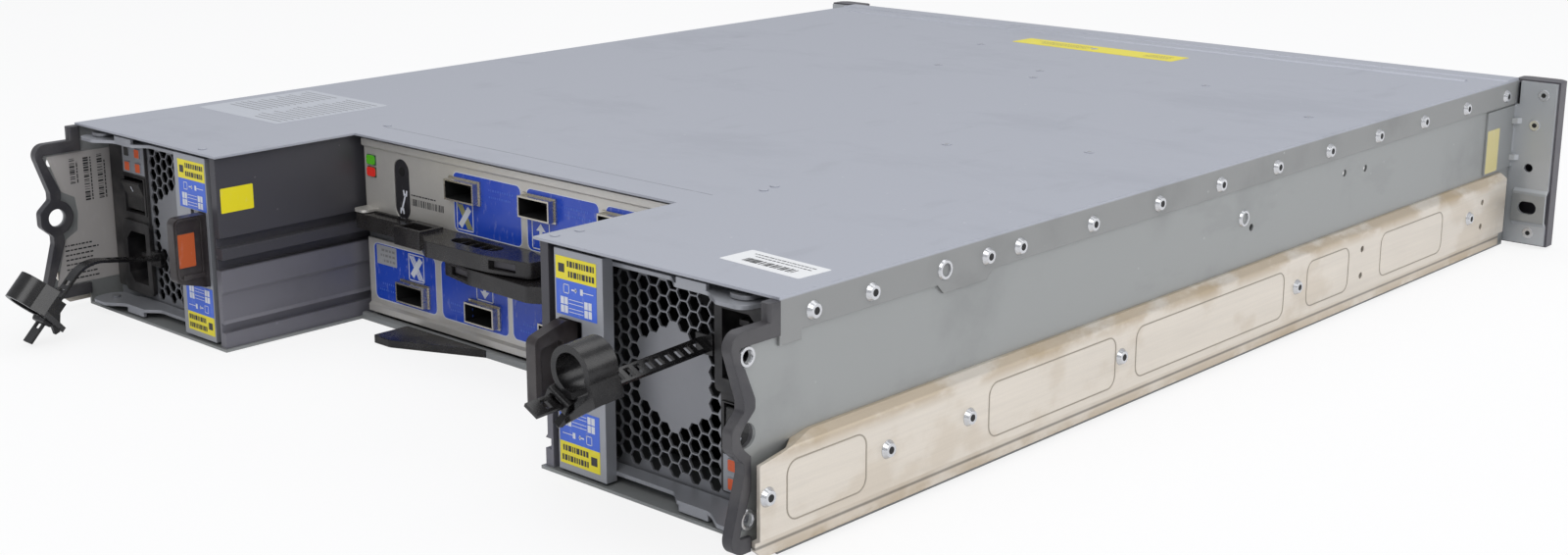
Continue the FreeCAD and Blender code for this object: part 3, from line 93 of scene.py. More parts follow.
def linear(code: str) -> Colour:
    """Turns a screen colour into scene-linear light.

    Args:
        code: Six hexadecimal digits, red first.

    Returns:
        Red, green and blue from 0 to 1.
    """
    shares = [int(code[i:i + 2], 16) / 255 for i in (0, 2, 4)]
    return tuple(s / 12.92 if s <= 0.04045 else ((s + 0.055) / 1.055) ** 2.4 for s in shares)


# ------------------------------------------------------------------ shader maths
@dataclass(frozen=True)
class Signal:
    """One number that changes over a surface, usable in sums and products."""

    graph: "Graph"
    socket: bpy.types.NodeSocket

    def _math(self, operation: str, first: Number, second: Number = 0.0) -> "Signal":
        """Adds one Math node.

        Args:
            operation: The node's operation.
            first: Its first value.
            second: Its second value.

        Returns:
            The node's result.
        """
        node = self.graph.node("ShaderNodeMath", {"operation": operation}, {0: first, 1: second})
        return Signal(self.graph, node.outputs[0])

    def __add__(self, other: Number) -> "Signal":
        """Sum."""
        return self._math("ADD", self, other)

    def __radd__(self, other: Number) -> "Signal":
        """Sum with a plain number first."""
        return self._math("ADD", other, self)

    def __sub__(self, other: Number) -> "Signal":
        """Difference."""
        return self._math("SUBTRACT", self, other)

    def __rsub__(self, other: Number) -> "Signal":
        """Difference with a plain number first."""
        return self._math("SUBTRACT", other, self)

    def __mul__(self, other: Number) -> "Signal":
        """Product."""
        return self._math("MULTIPLY", self, other)

    def __rmul__(self, other: Number) -> "Signal":
        """Product with a plain number first."""
        return self._math("MULTIPLY", other, self)

    def __truediv__(self, other: Number) -> "Signal":
        """Quotient."""
        return self._math("DIVIDE", self, other)

    def __abs__(self) -> "Signal":
        """Size without sign."""
        return self._math("ABSOLUTE", self)

    def above(self, level: float, soft: float) -> "Signal":
        """Mask that rises from 0 to 1 across a level.

        Args:
            level: Where the mask is half way.
            soft: Half the width of its edge.

        Returns:
            The mask.
        """
        node = self.graph.node("ShaderNodeMapRange", {"interpolation_type": "SMOOTHSTEP"},
                               {0: self, 1: level - soft, 2: level + soft, 3: 0.0, 4: 1.0})
        return Signal(self.graph, node.outputs[0])

    def below(self, level: float, soft: float) -> "Signal":
        """Mask that falls from 1 to 0 across a level."""
        return 1.0 - self.above(level, soft)


class Graph:
    """Node tree of one material, with a principled shader at its end."""

    def __init__(self, name: str) -> None:
        """Starts an empty material.

        Args:
            name: The material's name.
        """
        self.material = bpy.data.materials.new(name)
        self.material.use_nodes = True
        self.tree = self.material.node_tree
        self.tree.nodes.clear()
        output = self.tree.nodes.new("ShaderNodeOutputMaterial")
        self.shader = self.tree.nodes.new("ShaderNodeBsdfPrincipled")
        self.tree.links.new(self.shader.outputs[0], output.inputs["Surface"])
        self.place = self.node("ShaderNodeTexCoord", {}, {}).outputs["Object"]
        parts = self.node("ShaderNodeSeparateXYZ", {}, {0: self.place}).outputs
        self.x, self.y, self.z = (Signal(self, part) for part in parts)

    def node(self, kind: str, settings: dict, values: dict) -> bpy.types.Node:
        """Adds a node, with its settings first and then its inputs.

        Args:
            kind: The node's type.
            settings: Attributes of the node.
            values: Numbers, colours, sockets or signals by input index or name.

        Returns:
            The node.
        """
        node = self.tree.nodes.new(kind)
        for key, value in settings.items():
            setattr(node, key, value)
        for key, value in values.items():
            self.feed(node.inputs[key], value)
        return node

    def feed(self, socket: bpy.types.NodeSocket, value: object) -> None:
        """Sets a socket, or links it when the value is a signal or a socket.

        Args:
            socket: The input to feed.
            value: A number, colour, socket or signal.
        """
        if isinstance(value, Signal):
            self.tree.links.new(value.socket, socket)
        elif isinstance(value, bpy.types.NodeSocket):
            self.tree.links.new(value, socket)
        elif isinstance(value, tuple) and len(value) == 3 and len(socket.default_value) == 4:
            socket.default_value = (*value, 1.0)
        else:
            socket.default_value = value

    def noise(self, size: float, detail: float = 3.0,
              stretch: Sequence[float] = (1, 1, 1)) -> Signal:
        """Cloudy noise.

        Args:
            size: Size of its clouds, in metres.
            detail: How many finer layers it holds.
            stretch: How much longer the clouds are along each axis.

        Returns:
            A signal about 0.5.
        """
        scale = tuple(1 / share for share in stretch)
        place = self.node("ShaderNodeMapping", {}, {0: self.place, "Scale": scale})
        node = self.node("ShaderNodeTexNoise", {}, {"Vector": place.outputs[0], "Scale": 1 / size,
                                                    "Detail": detail, "Roughness": 0.55})
        return Signal(self, node.outputs[0])

    def cells(self, size: float) -> Signal:
        """Distance to scattered points, in cells of a size in metres."""
        node = self.node("ShaderNodeTexVoronoi", {}, {"Vector": self.place, "Scale": 1 / size})
        return Signal(self, node.outputs["Distance"])

    def blend(self, share: Number, first: object, second: object) -> bpy.types.NodeSocket:
        """Colour between two colours.

        Args:
            share: How much of the second one shows.
            first: The first colour.
            second: The second colour.

        Returns:
            The colour's socket.
        """
        node = self.node("ShaderNodeMix", {"data_type": "RGBA"}, {0: share, 6: first, 7: second})
        return node.outputs[2]

    def shade(self, colour: object, share: Number) -> bpy.types.NodeSocket:
        """Colour multiplied by a number."""
        node = self.node("ShaderNodeVectorMath", {"operation": "SCALE"},
                         {0: colour, "Scale": share})
        return node.outputs[0]

    def relief(self, height: Signal | None, depth: float, edge: float) -> None:
        """Gives the surface rounded edges and a fine relief.

        Args:
            height: Relief signal, or None for edges only.
            depth: Height of the relief in metres.
            edge: Radius of the edges in metres.
        """
        rounded = self.node("ShaderNodeBevel", {"samples": 4}, {"Radius": edge}).outputs[0]
        if height is not None:
            bump = self.node("ShaderNodeBump", {}, {"Strength": 1.0, "Distance": depth,
                                                    "Height": height, "Normal": rounded})
            rounded = bump.outputs[0]
        self.feed(self.shader.inputs["Normal"], rounded)

    def paint(self, **sockets: object) -> None:
        """Sets sockets of the shader; an underscore in a name stands for a space."""
        for name, value in sockets.items():
            self.feed(self.shader.inputs[name.replace("_", " ")], value)


# ------------------------------------------------------------------ finishes
@dataclass(frozen=True)
class Finish:
    """A finish with a colour and a gloss; its kinds add grain, stains or print."""

    name: str
    colour: str
    rough: float = 0.5
    metal: float = 0.0
    edge: float = 0.3 * MM

    def dress(self, graph: Graph) -> None:
        """Adds a slight unevenness of tone and gloss.

        Args:
            graph: The material being made.
        """
        cloud = graph.noise(9 * MM)
        graph.paint(Base_Color=graph.shade(linear(self.colour), 0.94 + 0.12 * cloud),
                    Roughness=self.rough + 0.08 * (cloud - 0.5), Metallic=self.metal)
        graph.relief(graph.noise(0.6 * MM), 0.01 * MM, self.edge)

    def material(self) -> bpy.types.Material:
        """Makes the material, or finds it when it was made before.

        Returns:
            The material.
        """
        name = "finish_" + self.name
        ready = bpy.data.materials.get(name)
        if ready:
            return ready
        graph = Graph(name)
        self.dress(graph)
        return graph.material


@dataclass(frozen=True)
class CoatedSheet(Finish):
    """Pre-coated sheet with orange peel, specks and smudges, and painted light and shade below a
    level.
    """

    smudge: float = 0.10
    speck: float = 0.35
    painted_light_tone: str = ""
    painted_light_level: float = 86.0 * MM
    painted_light_axis: str = "z"

    def dress(self, graph: Graph) -> None:
        """Adds peel, specks and smudges, and painted light and shade as a second tone below a
        level.

        Args:
            graph: The material being made.
        """
        smudges = graph.noise(70 * MM, 5.0, (1.6, 1.0, 1.0)).above(0.60, 0.10)
        scuffs = graph.noise(18 * MM, 6.0, (1.0, 3.0, 1.0)).above(0.66, 0.05)
        peel = graph.noise(0.9 * MM, 2.0)
        grain = graph.noise(0.35 * MM, 1.0)
        specks = graph.cells(16 * MM).below(0.035, 0.012)
        tone = 1.0 - self.smudge * smudges - 0.06 * scuffs + 0.05 * (grain - 0.5)
        base = linear(self.colour)
        # Painted light and shade: below the level the one coated sheet takes a second tone,
        # standing in for how the light falls on those faces.
        if self.painted_light_tone:
            along = graph.z if self.painted_light_axis == "z" else graph.y
            base = graph.blend(along.below(self.painted_light_level, 0.4 * MM), base, linear(self.painted_light_tone))
        colour = graph.blend(specks * self.speck, graph.shade(base, tone), (0.75, 0.75, 0.76))
        graph.paint(Base_Color=colour, Roughness=self.rough + 0.14 * smudges + 0.10 * (peel - 0.5),
                    Metallic=self.metal)
        graph.relief(peel, 0.012 * MM, self.edge)


@dataclass(frozen=True)
class ZincSheet(Finish):
    """Zinc-plated sheet: rolling streaks along the depth and a fine sparkle."""

    streak: float = 0.10
    stain: float = 0.0
    stain_colour: str = "B09A78"
    low: float = 2.5 * MM
    high: float = 40.0 * MM
    groove_shade: float = 6.5 * MM

    def dress(self, graph: Graph) -> None:
        """Adds streaks, a spangle, brown stains near the edges and a painted shade line at the
        groove.

        Args:
            graph: The material being made.
        """
        streaks = graph.noise(1.2 * MM, 3.0, (1, 40, 1))
        wide = graph.noise(5.0 * MM, 3.0, (1, 30, 1))
        cloud = graph.noise(45 * MM, 4.0)
        grain = graph.noise(0.4 * MM, 2.0)
        tone = (1.0 + self.streak * (streaks - 0.5) + self.streak * (wide - 0.5)
                + 0.10 * (cloud - 0.5))
        colour = graph.shade(linear(self.colour), tone + 0.08 * (grain - 0.5))
        gloss = self.rough + 0.16 * (streaks - 0.5) + 0.12 * (cloud - 0.5)
        if self.stain:
            near_low = graph.z.below(self.low + 4 * MM, 4 * MM)
            near_high = graph.z.above(self.high - 5 * MM, 3 * MM)
            patches = graph.noise(16 * MM, 5.0, (1, 2.2, 1)).above(0.47, 0.08)
            blotch = graph.noise(26 * MM, 6.0, (1, 1.5, 1)).above(0.60, 0.06)
            mask = self.stain * (patches * (0.8 * near_low + near_high) + 0.35 * blotch)
            colour = graph.blend(mask, colour, linear(self.stain_colour))
            # Painted shade: a near-black line along the rail at the groove's height, standing in
            # for the shade in the groove.
            groove_shade = abs(graph.z - self.groove_shade).below(0.5 * MM, 0.35 * MM)
            colour = graph.blend(0.6 * groove_shade, colour, (0.03, 0.03, 0.03))
            gloss = gloss + 0.25 * mask
        graph.paint(Base_Color=colour, Roughness=gloss, Metallic=self.metal)
        graph.relief(streaks + grain, 0.008 * MM, self.edge)


@dataclass(frozen=True)
class MouldedPlastic(Finish):
    """Moulded plastic: spark-eroded grain, dull dust film and rubbed gloss."""

    grain: float = 0.02 * MM
    dust: float = 0.15

    def dress(self, graph: Graph) -> None:
        """Adds the mould grain and the dust film.

        Args:
            graph: The material being made.
        """
        texture = graph.noise(0.5 * MM, 3.0)
        film = graph.noise(16 * MM, 5.0).above(0.52, 0.12)
        base = graph.shade(linear(self.colour), 0.92 + 0.16 * texture)
        colour = graph.blend(self.dust * film, base, (0.22, 0.21, 0.20))
        gloss = self.rough + 0.18 * self.dust * film + 0.1 * (texture - 0.5)
        graph.paint(Base_Color=colour, Roughness=gloss, Metallic=self.metal)
        graph.relief(texture, self.grain, self.edge)


@dataclass(frozen=True)
class PortMetal(ZincSheet):
    """Nickel shells whose bores and tongues lie in black shade."""

    turned: bool = False
    centres: Sequence[float] = (29.5 * MM, -19.0 * MM, -67.5 * MM)
    level: float = 71.0 * MM
    half_wide: float = 8.95 * MM
    half_high: float = 3.85 * MM

    def dress(self, graph: Graph) -> None:
        """Adds bright shells and black bores.

        Args:
            graph: The material being made.
        """
        own_x = -1.0 * graph.x if self.turned else graph.x
        own_z = 2 * IO_MID_HEIGHT - graph.z if self.turned else graph.z
        streaks = graph.noise(5.0 * MM, 2.0)
        bore = 0.0
        for centre in self.centres:
            across = abs(own_x - centre).below(self.half_wide, 0.05 * MM)
            bore = across * abs(own_z - self.level).below(self.half_high, 0.05 * MM) + bore
        metal = graph.shade(linear(self.colour), 0.9 + 0.2 * streaks)
        colour = graph.blend(bore, metal, (0.004, 0.004, 0.004))
        graph.paint(Base_Color=colour, Metallic=self.metal * (1.0 - bore),
                    Roughness=self.rough + 0.4 * bore + 0.1 * streaks)
        graph.relief(graph.noise(1.5 * MM, 1.0), 0.001 * MM, self.edge)


@dataclass(frozen=True)
class Printed(Finish):
    """Printed film: even ink under a satin coat, a little scuffed."""

    scuff: float = 0.12

    def dress(self, graph: Graph) -> None:
        """Adds scuffs and a satin coat.

        Args:
            graph: The material being made.
        """
        rub = graph.noise(3.0 * MM, 6.0, (1, 1, 2.5)).above(0.62, 0.07)
        colour = graph.blend(self.scuff * rub, linear(self.colour), (0.62, 0.62, 0.62))
        graph.paint(Base_Color=colour, Roughness=self.rough + 0.2 * self.scuff * rub,
                    Coat_Weight=0.15)
        graph.relief(graph.noise(1.5 * MM, 2.0), 0.006 * MM, 0.05 * MM)


@dataclass(frozen=True)
class Lens(Finish):
    """Coloured indicator lens with a faint painted glow."""

    glow: float = 0.15

    def dress(self, graph: Graph) -> None:
        """Adds the glow and a moulded ripple.

        Args:
            graph: The material being made.
        """
        ripple = graph.noise(0.8 * MM, 2.0)
        base = linear(self.colour)
        # Painted light: the lens gives off a faint glow of its own colour, though it is no lamp.
        graph.paint(Base_Color=graph.shade(base, 0.8 + 0.4 * ripple), Roughness=self.rough,
                    Emission_Color=base, Emission_Strength=self.glow, Coat_Weight=0.4)
        graph.relief(ripple, 0.02 * MM, 0.2 * MM)


@dataclass(frozen=True)
class CircuitBoard(Finish):
    """Solder-masked board with faint traces."""

    def dress(self, graph: Graph) -> None:
        """Adds traces along both directions.

        Args:
            graph: The material being made.
        """
        lines = graph.noise(1.2 * MM, 1.0, (1, 12, 1)).above(0.55, 0.02)
        cross = graph.noise(1.2 * MM, 1.0, (12, 1, 1)).above(0.57, 0.02)
        colour = graph.blend(0.5 * lines + 0.4 * cross, linear(self.colour), linear("2C6B45"))
        graph.paint(Base_Color=colour, Roughness=self.rough)
        graph.relief(lines + cross, 0.02 * MM, 0.1 * MM)


class Finishes(Enum):
    """Every finish on the shelf."""

    # Painted shade: the cover's sides below its top take the darker second tone.
    COVER = CoatedSheet("cover_coat", "AFB2BB", 0.44, 0.25, painted_light_tone="8F908F")
    PAN = CoatedSheet("pan_zinc", "9C9E9D", 0.40, 0.45, smudge=0.12, speck=0.2)
    # Painted light: the ear's front plate, in front of the level, takes the lighter second tone.
    EAR = CoatedSheet("ear_zinc", "999B9B", 0.38, 0.45, smudge=0.12, speck=0.1, painted_light_tone="B4B7BA",
                      painted_light_level=-279.5 * MM, painted_light_axis="y")
    RAIL = ZincSheet("rail_zinc", "DED6CA", 0.34, 0.6, streak=0.16, stain=0.55)
    # Painted shade: the stamped outlines take a darker copy of the rail's zinc, standing in for the
    # shade along the stamped ridges.
    STAMPING = ZincSheet("rail_stamping", "A79F92", 0.34, 0.6, streak=0.10)
    HANDLE = ZincSheet("handle_zinc", "9FA1A6", 0.36, 0.45, streak=0.06)
    GRILLE = ZincSheet("grille_zinc", "8B8C90", 0.36, 0.5, streak=0.06)
    PLATE = ZincSheet("faceplate_satin", "CFCCC6", 0.34, 0.5, streak=0.08)
    # Painted shade: parts inside the shelf take a darker copy of the zinc, standing in for the
    # shade inside it.
    INNER = ZincSheet("inner_zinc", "6A6B6D", 0.45, 0.6, streak=0.08)
    # Painted reflection: the bay wall's lower part takes the lighter second tone, as where it
    # reflects the floor.
    WALL = CoatedSheet("bay_wall_coat", "4A494E", 0.40, 0.25, edge=0.5 * MM, smudge=0.18, speck=0.1,
                       painted_light_tone="76757C", painted_light_level=36.0 * MM)
    TRIM = MouldedPlastic("trim_black", "39383C", 0.38, edge=0.6 * MM)
    LEVER = MouldedPlastic("lever_black", "1B1919", 0.26, edge=0.6 * MM, dust=0.07)
    LATCH = MouldedPlastic("latch_black", "2C2627", 0.30, edge=0.5 * MM)
    CAP = MouldedPlastic("cap_grey", "4C4A50", 0.40, edge=0.6 * MM)
    PANEL = MouldedPlastic("panel_black", "151416", 0.42)
    NYLON = MouldedPlastic("nylon_black", "0F0E0F", 0.26, edge=0.25 * MM, dust=0.05)
    FAN = MouldedPlastic("fan_black", "0C0C0D", 0.45, dust=0.05)
    ROCKER = MouldedPlastic("rocker_black", "0F0F10", 0.20, edge=0.4 * MM, dust=0.1)
    SCREW = ZincSheet("screw_zinc", "CFD0D2", 0.22, 0.75, streak=0.02, edge=0.2 * MM)
    # Painted shade: near-black for the screw sockets and the slot's detent, standing in for the
    # shade inside these hollows.
    RECESS = MouldedPlastic("recess_black", "0A0A0A", 0.6, edge=0.1 * MM, dust=0.0)
    PORT = PortMetal("port_nickel", "C9C4B8", 0.22, 0.9, edge=0.15 * MM)
    PORT_TURNED = PortMetal("port_nickel_turned", "C9C4B8", 0.22, 0.9, edge=0.15 * MM, turned=True)
    CONNECTOR = MouldedPlastic("connector_black", "1E1E20", 0.5)
    BOARD = CircuitBoard("board_green", "17432A", 0.45)
    BLUE = Printed("ink_blue", "3C67D6", 0.38)
    DEEP_BLUE = Printed("ink_deep_blue", "1B47BC", 0.26)
    YELLOW = Printed("ink_yellow", "EADB1E", 0.42)
    PALE_YELLOW = Printed("film_pale_yellow", "C9BE86", 0.35)
    OLIVE = Printed("ink_olive", "A9A52E", 0.42)
    DARK_INK = Printed("ink_dark", "2A2A2C", 0.45, scuff=0.0)
    FAINT_INK = Printed("ink_faint", "3C62C9", 0.40, scuff=0.0)
    GREY_INK = Printed("ink_grey", "7E7E80", 0.45, scuff=0.0)
    LIGHT_INK = Printed("ink_light", "D9DCE4", 0.42, scuff=0.05)
    WHITE_LABEL = Printed("label_white", "E6E7E8", 0.5, scuff=0.05)
    GREY_LABEL = Printed("label_grey", "A2A3A6", 0.45, scuff=0.1)
    SILVER_LABEL = Printed("label_silver", "B1ADAA", 0.36, 0.25, scuff=0.08)
    SEAM = Printed("seam_grey", "8B8E96", 0.45, scuff=0.3)
    CLEAR_LABEL = Printed("label_clear", "BCC0C8", 0.30, scuff=0.05)
    DARK_FILM = Printed("film_dark", "28272A", 0.3, scuff=0.1)
    ORANGE = Printed("pad_orange", "B2501F", 0.45, scuff=0.1)
    GREEN_LENS = Lens("lens_green", "4FA81E", 0.25)
    RED_LENS = Lens("lens_red", "D42A20", 0.25)
    AMBER_LENS = Lens("lens_amber", "C8501C", 0.3, glow=0.1)
    DARK_LENS = Lens("lens_dark", "1C1C1C", 0.3, glow=0.0)


# ------------------------------------------------------------------ modelling
@dataclass(frozen=True)
class Place:
    """A flat place on the object: an origin and the directions of right and up across it."""

    origin: Vector
    right: Vector
    up: Vector
    turn: Matrix = field(default_factory=lambda: Matrix.Identity(4))

    def matrix(self) -> Matrix:
        """Where local right, up and outward lie on the object.

        Returns:
            The change from the place's own coordinates to the object's.
        """
        out = self.right.cross(self.up)
        columns = Matrix((self.right, self.up, out)).transposed().to_4x4()
        return self.turn @ Matrix.Translation(self.origin) @ columns


class Bench:
    """Modelling steps that make one finished piece each."""

    @staticmethod
    def clear() -> None:
        """Leaves edit mode and deselects everything."""
        if bpy.context.object and bpy.context.object.mode != "OBJECT":
            bpy.ops.object.mode_set(mode="OBJECT")
        bpy.ops.object.select_all(action="DESELECT")

    @staticmethod
    def settle(piece: bpy.types.Object, matrix: Matrix) -> None:
        """Puts a piece's place into its mesh, with its object at the origin.

        Args:
            piece: The piece, modelled in local coordinates.
            matrix: Where it goes.
        """
        Bench.clear()
        piece.select_set(True)
        bpy.context.view_layer.objects.active = piece
        piece.matrix_world = matrix @ piece.matrix_world
        bpy.ops.object.transform_apply(location=True, rotation=True, scale=True)
        Bench.clear()

    @staticmethod
    def apply(piece: bpy.types.Object, kind: str, **settings: object) -> None:
        """Adds a modifier to a piece and applies it.

        Args:
            piece: The piece.
            kind: The modifier's type.
            settings: The modifier's attributes.
        """
        modifier = piece.modifiers.new(kind.lower(), kind)
        for key, value in settings.items():
            setattr(modifier, key, value)
        Bench.clear()
        piece.select_set(True)
        bpy.context.view_layer.objects.active = piece
        bpy.ops.object.modifier_apply(modifier=modifier.name)

    @staticmethod
    def rectangle(name: str, low: Spot, high: Spot, lift: float = 0.0) -> bpy.types.Object:
        """Flat rectangle, left in edit mode with everything selected.

        Args:
            name: The piece's name.
            low: Its lower left corner.
            high: Its upper right corner.
            lift: Its height.

        Returns:
            The piece.
        """
        Bench.clear()
        centre = ((low[0] + high[0]) / 2, (low[1] + high[1]) / 2, lift)
        bpy.ops.mesh.primitive_plane_add(size=1, location=centre)
        piece = bpy.context.object
        piece.name = name
        piece.scale = (high[0] - low[0], high[1] - low[1], 1)
        bpy.ops.object.transform_apply(location=True, rotation=False, scale=True)
        bpy.ops.object.mode_set(mode="EDIT")
        bpy.ops.mesh.select_all(action="SELECT")
        return piece

    @staticmethod
    def thicken(piece: bpy.types.Object, place: Place, thick: float) -> bpy.types.Object:
        """Raises the flat mesh in edit mode into a plate and puts it in its place.

        Args:
            piece: The piece in edit mode, with everything selected.
            place: The plane that it lies on.
            thick: How far it stands out.

        Returns:
            The piece.
        """
        bpy.ops.mesh.extrude_region_move(TRANSFORM_OT_translate={"value": (0, 0, thick)})
        bpy.ops.mesh.select_all(action="SELECT")
        bpy.ops.mesh.normals_make_consistent(inside=False)
        bpy.ops.object.mode_set(mode="OBJECT")
        Bench.settle(piece, place.matrix())
        return piece

    @staticmethod
    def gather(name: str, piece: bpy.types.Object | None) -> bpy.types.Object:
        """Makes the first patch of a piece ready to take up the later ones.

        Args:
            name: The piece's name.
            piece: The piece, or None while the patch just made is its first.

        Returns:
            The piece, in edit mode.
        """
        if piece is None:
            piece = bpy.context.object
            piece.name = name
            bpy.ops.object.transform_apply(location=True, rotation=False, scale=False)
            bpy.ops.object.mode_set(mode="EDIT")
            bpy.ops.mesh.select_all(action="SELECT")
        return piece

    @staticmethod
    def tablet(name: str, place: Place, low: Spot, high: Spot, thick: float, corner: float = 0.0,
               lift: float = 0.0) -> bpy.types.Object:
        """Flat plate with rounded corners.

        Args:
            name: The piece's name.
            place: The plane that it lies on.
            low: Its lower left corner on that plane.
            high: Its upper right corner.
            thick: How far it stands out.
            corner: Radius of its corners.
            lift: Gap under it.

        Returns:
            The piece.
        """
        piece = Bench.rectangle(name, low, high, lift)
        if corner:
            bpy.ops.mesh.bevel(offset=corner, segments=5, affect="VERTICES")
            bpy.ops.mesh.select_all(action="SELECT")
        return Bench.thicken(piece, place, thick)

    @staticmethod
    def cut(piece: bpy.types.Object, place: Place, low: Spot, high: Spot) -> None:
        """Cuts a rectangular hole through a flat piece.

        Args:
            piece: The piece.
            place: The plane that it lies on.
            low: The hole's lower left corner.
            high: Its upper right corner.
        """
        cutter = Bench.tablet("cutter", place, low, high, 4 * MM, lift=-2 * MM)
        Bench.apply(piece, "BOOLEAN", object=cutter, operation="DIFFERENCE", solver="EXACT")
        Bench.clear()
        cutter.select_set(True)
        bpy.ops.object.delete()

    @staticmethod
    def ink(name: str, place: Place, strokes: Iterable[Patch], lift: float) -> bpy.types.Object:
        """Print made of small straight patches.

        Args:
            name: The piece's name.
            place: The plane that it lies on.
            strokes: Left, bottom, right and top of each patch.
            lift: Height above the plane.

        Returns:
            The piece.
        """
        Bench.clear()
        piece = None
        for left, bottom, right, top in strokes:
            spot = ((left + right) / 2, (bottom + top) / 2, lift)
            bpy.ops.mesh.primitive_plane_add(size=1, location=spot)
            piece = Bench.gather(name, piece)
            bpy.ops.transform.resize(value=(abs(right - left), abs(top - bottom), 1),
                                     center_override=spot)
        bpy.ops.object.mode_set(mode="OBJECT")
        Bench.settle(piece, place.matrix())
        return piece

    @staticmethod
    def discs(name: str, place: Place, spots: Iterable[Spot], radius: float,
              lift: float) -> bpy.types.Object:
        """Flat discs in one piece, such as the dark sockets of a row of screws.

        Args:
            name: The piece's name.
            place: The plane that they lie on.
            spots: Their centres on that plane.
            radius: Their radius.
            lift: Height above the plane.

        Returns:
            The piece.
        """
        Bench.clear()
        piece = None
        for across, above in spots:
            bpy.ops.mesh.primitive_circle_add(vertices=14, radius=radius, fill_type="NGON",
                                              location=(across, above, lift))
            piece = Bench.gather(name, piece)
        bpy.ops.object.mode_set(mode="OBJECT")
        Bench.settle(piece, place.matrix())
        return piece

    @staticmethod
    def shape(name: str, place: Place, corners: Sequence[Spot], thick: float,
              lift: float = 0.0) -> bpy.types.Object:
        """Flat plate of any outline, drawn corner by corner.

        Args:
            name: The piece's name.
            place: The plane that it lies on.
            corners: Its outline, counter-clockwise.
            thick: How far it stands out.
            lift: Gap under it.

        Returns:
            The piece.
        """
        Bench.clear()
        bpy.ops.mesh.primitive_circle_add(vertices=len(corners), radius=1, fill_type="NGON")
        piece = bpy.context.object
        piece.name = name
        for vertex, corner in zip(piece.data.vertices, corners):
            vertex.co = (corner[0], corner[1], lift)
        bpy.ops.object.mode_set(mode="EDIT")
        bpy.ops.mesh.select_all(action="SELECT")
        return Bench.thicken(piece, place, thick)

    @staticmethod
    def frame(name: str, place: Place, low: Spot, high: Spot, line: float, thick: float,
              corner: float) -> bpy.types.Object:
        """Raised outline of a rounded rectangle.

        Args:
            name: The piece's name.
            place: The plane that it lies on.
            low: Its lower left corner.
            high: Its upper right corner.
            line: Width of the line.
            thick: How far it stands out.
            corner: Radius of its corners.

        Returns:
            The piece.
        """
        piece = Bench.rectangle(name, low, high)
        bpy.ops.mesh.bevel(offset=corner, segments=6, affect="VERTICES")
        bpy.ops.mesh.select_all(action="SELECT")
        bpy.ops.mesh.inset(thickness=line, depth=0)
        bpy.ops.mesh.delete(type="FACE")
        bpy.ops.mesh.select_all(action="SELECT")
        return Bench.thicken(piece, place, thick)

    @staticmethod
    def dome(name: str, place: Place, spot: Spot, radius: float,
             rise: float) -> bpy.types.Object:
        """Shallow round dome, such as a clinch mark.

        Args:
            name: The piece's name.
            place: The plane that it stands on.
            spot: Its centre on that plane.
            radius: Its radius.
            rise: Its height.

        Returns:
            The piece.
        """
        Bench.clear()
        bpy.ops.mesh.primitive_cylinder_add(vertices=24, radius=radius, depth=rise,
                                            location=(spot[0], spot[1], rise / 2),
                                            end_fill_type="NGON")
        piece = bpy.context.object
        piece.name = name
        bpy.ops.object.transform_apply(location=True, rotation=False, scale=False)
        Bench.apply(piece, "BEVEL", width=rise * 0.9, segments=3, limit_method="ANGLE")
        bpy.ops.object.select_all(action="DESELECT")
        Bench.settle(piece, place.matrix())
        return piece


def screw_rows() -> list[Spot]:
    """Depth and height of each screw in the cover's flanges.

    Returns:
        One place for each screw of one side, front first.
    """
    pitch, first, level = mm(46.5, -267.5, 79.5)
    places = [(first + pitch * number, level) for number in range(10)]
    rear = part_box("top_cover")[1].y
    return places + [(rear - inset, level) for inset in mm(109.6, 45.7, 16.2)]


def dashes(seed: int, left: float, right: float, levels: Sequence[float], height: float,
           longest: float = 2.2 * MM, gap: float = 0.0) -> list[Patch]:
    """Rows of short marks that stand in for small print.

    Args:
        seed: Start of the random draws.
        left: Left end of the rows.
        right: Right end of the rows.
        levels: Height of each row's middle.
        height: Height of the marks.
        longest: Longest mark.
        gap: Space between marks, or 0 for a share of their height.

    Returns:
        Left, bottom, right and top of each mark.
    """
    draw = random.Random(seed)
    space = gap or height * 0.7
    marks = []
    for level in levels:
        spot = left
        end = right - draw.random() * (right - left) * 0.25
        while spot < end:
            length = draw.uniform(0.35, 1.0) * longest
            marks.append((spot, level - height / 2, min(spot + length, end), level + height / 2))
            spot += length + space
    return marks


def bars(seed: int, left: float, right: float, low: float, high: float) -> list[Patch]:
    """Upright bars of uneven width, as on a code label but with no code in them.

    Args:
        seed: Start of the random draws.
        left: Left end of the row.
        right: Right end of the row.
        low: Foot of the bars.
        high: Top of the bars.

    Returns:
        Left, bottom, right and top of each bar.
    """
    draw = random.Random(seed)
    marks = []
    spot = left
    while spot < right:
        width = draw.choice((0.25, 0.45, 0.8)) * MM
        marks.append((spot, low, min(spot + width, right), high))
        spot += width + draw.choice((0.3, 0.5, 0.9)) * MM
    return marks


def upended(marks: Iterable[Patch]) -> list[Patch]:
    """Marks with their two axes swapped, so that a row becomes a column."""
    return [(low, left, high, right) for left, low, right, high in marks]


def band(first: Spot, last: Spot, width: float) -> list[Spot]:
    """Outline of a straight band between two points.

    Args:
        first: Middle of one end.
        last: Middle of the other end.
        width: The band's width.

    Returns:
        Its corners, counter-clockwise.
    """
    along = Vector((last[0] - first[0], last[1] - first[1])).normalized() * (width / 2)
    side = Vector((-along.y, along.x))
    ends = ((first, -1), (last, -1), (last, 1), (first, 1))
    return [(point[0] + way * side.x, point[1] + way * side.y) for point, way in ends]


